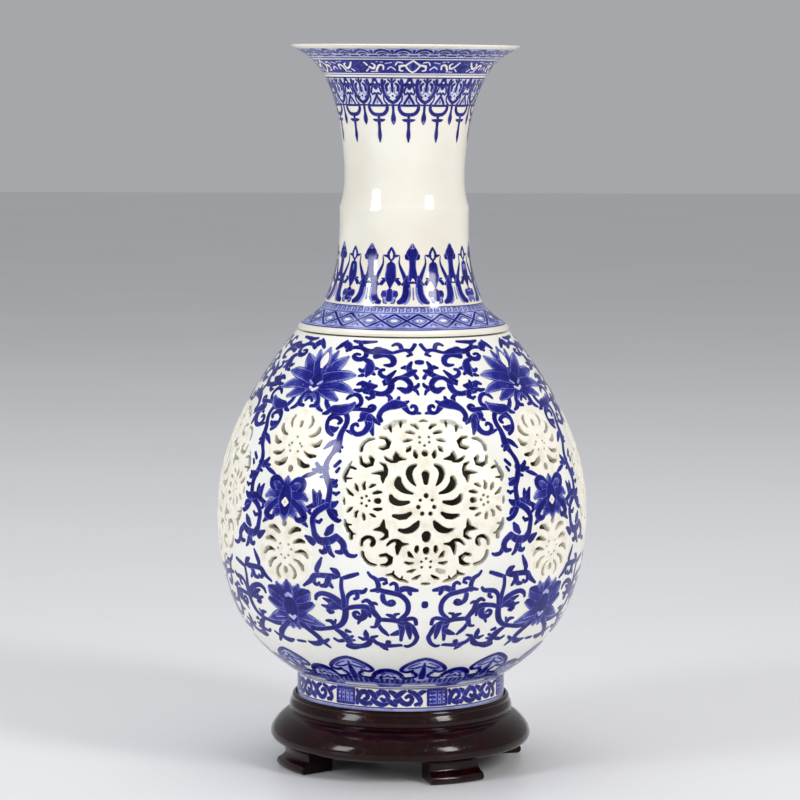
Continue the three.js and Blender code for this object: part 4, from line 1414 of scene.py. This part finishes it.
@dataclass
class Stand:
    """Turned and lacquered hardwood stand on four block feet."""

    ring_z: float = 12.3
    collar_z: float = 39.0
    seat_z: float = 30.0
    foot_arc: float = 26.5
    foot_turn: float = 20.0

    def ring(self) -> Obj:
        """The ring with its rolled edge, cove and raised collar.

        Returns:
            The piece.
        """
        b = self.ring_z
        side = smooth_path(np.array([
            (69.5, b + 0.2), (71.6, b + 1.3), (72.75, b + 3.4), (72.75, b + 5.4), (71.9, b + 7.8),
            (70.2, b + 10.4), (67.6, b + 13.2), (64.9, b + 15.2), (62.6, b + 16.3),
            (61.7, b + 17.2)]), 4)
        collar = smooth_path(np.array([
            (61.9, b + 17.5), (62.3, b + 19), (62.4, b + 20.4), (61.8, b + 22.2),
            (61.0, b + 24), (60.9, b + 25.2), (60.2, b + 26.3), (59.5, self.collar_z)]), 4)
        loop = [(42.0, b), (69.0, b)] + [tuple(p) for p in side] + [tuple(p) for p in collar]
        loop += [(58.9, self.collar_z - 0.2), (58.7, self.collar_z - 0.8), (58.7, self.seat_z),
                 (48.3, self.seat_z), (48.3, 25.0), (42.0, 25.0)]
        return turned("stand_ring_turned", [(float(r), float(z)) for r, z in loop], 160, 34)

    def foot(self, k: int) -> Obj:
        """One block foot with its lip and cove, edges eased.

        Args:
            k: Number of the foot, from 0.

        Returns:
            The foot.
        """
        cove = smooth_path(np.array([
            (69.2, 0.0), (70.6, 0.9), (71.0, 2.4), (70.2, 4.3), (67.8, 5.7), (66.3, 7.2),
            (66.2, 9.0), (66.7, 10.8), (67.3, 12.0)]), 3)
        loop = [(49.5, 0.0)] + [(float(r), float(z)) for r, z in cove] + [(48.6, 12.0)]
        mid = -90 + self.foot_turn + 90 * k
        obj = turned(f"stand_foot_block_{'abcd'[k]}", loop, 14, 40, self.foot_arc,
                     mid + self.foot_arc / 2)
        apply(obj, "BEVEL", width=0.0007, segments=3, limit_method="ANGLE",
              angle_limit=math.radians(50))
        only(obj)
        bpy.ops.object.shade_smooth_by_angle(angle=math.radians(34))
        return obj

    def build(self) -> None:
        """Makes the stand and dresses the hidden board and pegs."""
        lacquer = Lacquer("ring lacquer").make()
        ring = self.ring()
        dress(ring, lacquer)
        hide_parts("stand_ring")
        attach(ring, Body.STAND.value)
        foot_lacquer = Lacquer("foot lacquer", deep=(21, 2, 4), warm=(36, 5, 6), gloss=0.1).make()
        for k in range(4):
            foot = self.foot(k)
            dress(foot, foot_lacquer)
            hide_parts(f"stand_foot_{'abcd'[k]}")
            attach(foot, Body.STAND.value)
        board = Lacquer("board stain", deep=(54, 20, 14), warm=(92, 40, 26), gloss=0.4, coat=0.1).make()
        dress(bpy.data.objects["stand_board"], board)
        peg = Lacquer("peg wood", deep=(104, 62, 38), warm=(136, 88, 56), gloss=0.5, coat=0.0).make()
        for k in "abcd":
            dress(bpy.data.objects[f"stand_peg_{k}"], peg)
        LOG.info("stand: ring, board, four feet and four pegs")


@dataclass
class Base:
    """Porcelain foot ring and floor that carry the belly, with the pivot cone."""

    top_z: float = 51.3
    foot_z: float = 30.3

    def shell(self) -> Obj:
        """The turned foot with its floor and spigot.

        Returns:
            The piece.
        """
        t, f = self.top_z, self.foot_z
        loop = [(6.3, t - 5), (50.5, t - 5), (51.6, t - 6), (52.0, t - 7.5), (53.0, f + 1.2),
                (53.6, f + 0.4), (54.4, f), (56.0, f), (56.8, f + 0.5), (57.5, f + 1.5),
                (57.9, f + 4), (58.0, f + 8), (58.0, t - 4), (58.0, t - 1.0), (57.8, t - 0.3),
                (57.3, t), (49.7, t), (49.7, t + 6), (45.7, t + 6), (44.7, t), (6.3, t)]
        return turned("vase_base_turned", loop, 160, 34)

    def painting(self) -> Obj:
        """The band of scroll blocks and its blue edge lines.

        Returns:
            The piece.
        """
        p = Painter(FOOT, 0.05)
        p.ring(38.6, 40.1, 0.1, 1)
        p.ring(40.2, 40.8, 0.85, 1)
        p.ring(50.9, 51.25, 0.4, 1)
        p.motif(7, FOOT_BLOCKS, 1.8, mirrored=False, fit=FOOT_FIT)
        return p.finish("foot_painting")

    def build(self) -> None:
        """Makes the base, its painting and the dressed pivot."""
        base = self.shell()
        dress(base, ClearGlaze("base glaze").make())
        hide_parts("vase_base")
        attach(base, Body.OUTER.value)
        paint = self.painting()
        dress(paint, Cobalt("base cobalt").make())
        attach(paint, Body.OUTER.value)
        # the pivot's grey is painted shade for the dim inside of the belly
        dress(bpy.data.objects["pivot_cone"], BiscuitInPaintedShade("pivot biscuit in painted shade", rough=0.6).make())
        LOG.info("base: foot ring with painted border, pivot cone")


@dataclass
class Belly:
    """The pierced outer wall with its painted scrolls."""

    foot_z: float = 51.6
    mouth_z: float = 242.6
    wall: float = 4.0
    cuts: tuple[tuple[str, ...], ...] = (CENTRE_CUTS, NORTH_CUTS, SOUTH_CUTS, SIDE_CUTS,
                                         CORNER_CUTS, SMALL_UPPER_CUTS, SMALL_LOWER_CUTS)

    def shell(self) -> Obj:
        """The turned wall, pierced, with its mouth ring and foot ring.

        Returns:
            The piece.
        """
        top = self.mouth_z
        outer = along(BELLY, self.foot_z, top, 2.6)
        inner = along(BELLY, self.foot_z + 11, top - 13, 2.6, self.wall)
        loop = [(50.0, self.foot_z)] + outer
        loop += [(57.9, top), (50.2, top), (50.2, top - 6.5), (54.2, top - 8)]
        loop += inner[::-1] + [(52.4, self.foot_z + 7.5), (50.0, self.foot_z + 6.5)]
        obj = turned("outer_belly_pierced", loop, 192, 34)
        cutter = Cutter(BELLY)
        for texts in self.cuts:
            cutter.motif(texts)
        cutter.bite(obj)
        self.smooth(obj)
        return obj

    def smooth(self, obj: Obj) -> None:
        """Shades the outside and inside walls as the true curve, and the cuts as they are.

        Args:
            obj: The pierced belly.
        """
        mesh = obj.data
        mesh.polygons.foreach_set("use_smooth", [True] * len(mesh.polygons))
        co = np.empty(len(mesh.vertices) * 3, np.float32)
        mesh.vertices.foreach_get("co", co)
        co = co.reshape(-1, 3) * 1000.0
        theta, z = BELLY.read(co)
        out = BELLY.normals(theta, z)
        away = np.hypot(co[:, 0], co[:, 1]) - BELLY.radius(z)
        side = away * np.clip(np.hypot(out[:, 0], out[:, 1]), 0.3, 1)
        index = np.empty(len(mesh.loops), np.int32)
        mesh.loops.foreach_get("vertex_index", index)
        face_of = np.repeat(np.arange(len(mesh.polygons)), [len(p.vertices) for p in mesh.polygons])
        flat = np.empty(len(mesh.polygons) * 3, np.float32)
        mesh.polygons.foreach_get("normal", flat)
        flat = flat.reshape(-1, 3)
        near = (side > -0.16) & (z > self.foot_z + 0.5) & (z < self.mouth_z - 0.3)
        outer = np.ones(len(mesh.polygons), bool)
        np.logical_and.at(outer, face_of, near[index])
        outer &= (flat * out[index][np.unique(face_of, return_index=True)[1]]).sum(1) > 0.93
        deep = (side < -self.wall + 0.5) & (side > -self.wall - 0.8)
        inner = np.ones(len(mesh.polygons), bool)
        np.logical_and.at(inner, face_of, deep[index])
        inner &= (flat * out[index][np.unique(face_of, return_index=True)[1]]).sum(1) < -0.9
        normals = flat[face_of].copy()
        pick = outer[face_of]
        normals[pick] = out[index][pick]
        pick = inner[face_of]
        normals[pick] = -out[index][pick]
        mesh.normals_split_custom_set(normals.tolist())
        LOG.info("belly wall: %d outside faces, %d inside faces, %d in all",
                 outer.sum(), inner.sum(), len(outer))

    def painting(self) -> Obj:
        """Scrolls, lotuses and the border of hanging heads at the foot.

        Returns:
            The piece.
        """
        p = Painter(BELLY, 0.05)
        for texts in (SCROLL_LOW, SCROLL_SIDE, SCROLL_HIGH, SCROLL_TOP):
            p.motif(4, texts, coat=1)
        p.motif(4, tuple("p0.95|" + t for t in LOTUS_PETALS), coat=2)
        p.motif(4, LOTUS_HOOKS, coat=3)
        p.motif(4, tuple("0.97|" + t for t in LOTUS_CORES), coat=3)
        p.motif(4, LOTUS_HEARTS, coat=4)
        p.ring(52.4, 53.0, 0.3, 1)
        p.ring(54.4, 55.2, 0.2, 1)
        p.ring(55.2, 59.4, 0.42, 0)
        p.motif(12, MOUND_WASH, 2.0, mirrored=False, coat=1)
        p.motif(12, LAPPET_WASH, 2.0, mirrored=False, coat=1, fit=WASH_FIT)
        p.motif(12, MOUNDS, 2.0, coat=2)
        p.motif(12, LAPPETS, 2.0, coat=3, fit=LAPPET_FIT)
        p.motif(36, ROOTS, 1.5, mirrored=False, coat=1)
        return p.finish("belly_painting")

    def build(self) -> None:
        """Makes the pierced wall and its painting."""
        wall = self.shell()
        dress(wall, PiercedGlaze("belly glaze").make())
        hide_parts("outer_belly")
        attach(wall, Body.OUTER.value)
        paint = self.painting()
        dress(paint, Cobalt("belly cobalt").make())
        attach(paint, Body.OUTER.value)
        LOG.info("belly: wall %d faces, painting %d faces", len(wall.data.polygons),
                 len(paint.data.polygons))


@dataclass
class InnerVase:
    """The plain inner vase that turns inside the belly; its CAD solid stays, with a finish of dark olive
    greys that are painted shade for the dim inside of the belly.
    """

    def build(self) -> None:
        """Dresses the inner vase in dark colours that stand for painted shade."""
        # painted shade: dark olive greys stand for the shadow inside the pierced belly
        dress(bpy.data.objects["inner_vase"], BiscuitInPaintedShade("inner glaze", light=(112, 108, 92),
                                                      dark=(88, 83, 68), rough=0.42).make())
        LOG.info("inner vase dressed")


@dataclass
class Neck:
    """The flared neck with its flange, painted borders, lip and keyed tenon."""

    wall: float = 3.7
    flange_z: float = 243.4
    top_z: float = 400.0

    def shell(self) -> Obj:
        """The turned neck with a rounded lip, a smooth bore and the tenon below.

        Returns:
            The piece.
        """
        outer = along(NECK, 243.6, 398.5, 1.5)
        lip = [(62.9, 398.8), (63.2, 399.2), (63.25, 399.55), (63.0, 399.85), (62.5, 400.0),
               (61.6, 399.97), (60.6, 399.7)]
        bore = [p for p in along(NECK, 262, 396.5, 2.5, self.wall)][::-1]
        blend = [(58.2, 398.6), (55.2, 396.9)]
        loop = [(34.1, 232.4), (37.3, 232.4), (38.1, 233.6), (38.1, 246.4), (43.45, 246.4),
                (43.45, 237.9), (48.5, 237.9), (49.5, 238.9), (49.5, 243.4), (58.0, 243.4)]
        loop += outer + lip + blend + [p for p in bore if p[1] < 394.6]
        return turned("neck_turned", loop, 160, 38)

    def keys(self, neck: Obj) -> None:
        """Adds the two keys that drop into the inner vase's notches."""
        for side in (-1, 1):
            bpy.ops.object.select_all(action="DESELECT")
            bpy.ops.mesh.primitive_cube_add(size=1, location=(side * 0.0398, 0, 0.2434))
            key = bpy.context.active_object
            key.scale = (0.0052, 0.007, 0.006)
            bpy.ops.object.transform_apply(location=True, rotation=True, scale=True)
            apply(key, "BEVEL", width=0.0006, segments=2)
            only(neck)
            key.select_set(True)
            bpy.ops.object.join()

    def painting(self) -> Obj:
        """The lip band, lambrequins, tassels, upright border and lozenge band.

        Returns:
            The piece.
        """
        p = Painter(NECK, 0.06, 0.0)
        p.step = 1.3
        p.ring(247.2, 258.4, 0.14, 0)
        p.ring(246.7, 247.2, 0.7, 1)
        p.ring(247.6, 247.9, 0.5, 1)
        p.ring(254.9, 255.2, 0.75, 1)
        p.ring(258.2, 258.7, 0.85, 1)
        p.motif(23, LOZENGES, 2.6, mirrored=False, coat=2, fit=LOZENGE_FIT)
        p.motif(72, FRET, 0.0, mirrored=False, coat=2)
        p.motif(10, BLADES, coat=2)
        p.motif(10, STARS, 18.0, coat=2)
        for low, high, tone, coat in LIP_LINES:
            p.ring(float(LIP_FIT.height(low)), float(LIP_FIT.height(high)), tone, coat)
        p.motif(14, LAMBREQUIN_HEADS, -17.0, coat=2, fit=LIP_FIT)
        p.motif(14, LAMBREQUIN_FLOWERS, -4.1, coat=2, fit=LIP_FIT)
        p.motif(14, PENDANTS, -4.1, coat=3, fit=LIP_FIT)
        p.motif(14, TASSELS, -17.0, coat=2, fit=LIP_FIT)
        p.motif(31, CLOUDS, -8.5, coat=2, fit=LIP_FIT)
        p.motif(5, LIP_LOTUS, -38.5, coat=2, fit=LIP_FIT)
        p.motif(5, LIP_BUDS, -2.5, coat=2, fit=LIP_FIT)
        return p.finish("neck_painting")

    def build(self) -> None:
        """Makes the neck and its painting."""
        neck = self.shell()
        self.keys(neck)
        dress(neck, ClearGlaze("neck glaze").make())
        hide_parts("neck")
        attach(neck, Body.NECK.value)
        paint = self.painting()
        dress(paint, Cobalt("neck cobalt").make())
        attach(paint, Body.NECK.value)
        LOG.info("neck: shell %d faces, painting %d faces", len(neck.data.polygons),
                 len(paint.data.polygons))


# --------------------------------------------------------------------------
# Studio
# --------------------------------------------------------------------------


@dataclass
class Studio:
    """Camera, pale floor and soft window light."""

    distance: float = 1.7545
    height: float = 0.3878
    azimuth: float = 7.3
    pitch: float = 6.005
    swing: float = 0.051
    roll: float = 0.43
    lens: float = 142.4

    def camera(self) -> None:
        """Sets the camera at its place, tilt and small roll."""
        a = math.radians(self.azimuth)
        cam = bpy.data.objects.new("camera", bpy.data.cameras.new("camera"))
        bpy.context.scene.collection.objects.link(cam)
        cam.data.lens = self.lens
        cam.data.sensor_width = 36.0
        cam.data.clip_end = 60.0
        cam.location = (-self.distance * math.sin(a), -self.distance * math.cos(a), self.height)
        aim = Matrix.Rotation(math.radians(self.swing) - a, 4, "Z")
        aim = aim @ Matrix.Rotation(math.radians(90 - self.pitch), 4, "X")
        aim = aim @ Matrix.Rotation(math.radians(self.roll), 4, "Z")
        cam.rotation_euler = aim.to_euler()
        bpy.context.scene.camera = cam

    def lamp(self, name: str, place: tuple[float, float, float], aim: tuple[float, float, float],
             size: tuple[float, float], power: float, tint: tuple[float, float, float]) -> None:
        """Adds one soft rectangular light.

        Args:
            name: Name of the light.
            place: Where it stands, in metres.
            aim: The point it faces, in metres.
            size: Its two sides in metres.
            power: Its power in watts.
            tint: Its colour.
        """
        light = bpy.data.lights.new(name, "AREA")
        light.shape = "RECTANGLE"
        light.size, light.size_y = size
        light.energy = power
        light.color = tint
        obj = bpy.data.objects.new(name, light)
        bpy.context.scene.collection.objects.link(obj)
        obj.location = place
        obj.rotation_euler = (Vector(aim) - Vector(place)).to_track_quat("-Z", "Y").to_euler()

    def floor(self) -> None:
        """A plain pale floor."""
        bpy.ops.object.select_all(action="DESELECT")
        bpy.ops.mesh.primitive_plane_add(size=16.0, location=(0, 0, 0))
        floor = bpy.context.active_object
        floor.name = "floor"
        mat = bpy.data.materials.new("floor")
        mat.use_nodes = True
        w = Weave(mat.node_tree)
        shader = mat.node_tree.nodes["Principled BSDF"]
        cloud = w.noise(3.0, 3)
        color = w.mix(cloud, ink(228, 228, 230), ink(236, 236, 238))
        w.tree.links.new(color, shader.inputs["Base Color"])
        shader.inputs["Roughness"].default_value = 0.35
        dress(floor, mat)

    def build(self) -> None:
        """Sets up the whole studio."""
        self.camera()
        self.floor()
        self.lamp("right window", (1.3, -1.5, 1.35), (0.0, 0.0, 0.2), (0.5, 0.85), 26, (1.0, 0.98, 0.96))
        self.lamp("left window", (-1.7, -0.9, 1.0), (0.0, 0.0, 0.2), (0.55, 0.9), 19, (0.96, 0.98, 1.0))
        self.lamp("ceiling", (0.0, 0.3, 2.2), (0.0, 0.0, 0.1), (1.8, 1.8), 20, (1.0, 1.0, 1.0))
        world = bpy.data.worlds.new("room")
        world.use_nodes = True
        world.node_tree.nodes["Background"].inputs[0].default_value = ink(234, 236, 240)
        world.node_tree.nodes["Background"].inputs[1].default_value = 0.46
        bpy.context.scene.world = world
        bpy.context.scene.view_settings.view_transform = "Standard"


def main() -> None:
    """Builds the studio and every piece."""
    logging.basicConfig(level=logging.INFO, format="%(name)s: %(message)s")
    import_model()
    Studio().build()
    for part in (Stand(), Base(), Belly(), InnerVase(), Neck()):
        part.build()
    bpy.context.view_layer.update()


if __name__ == "__main__":
    main()
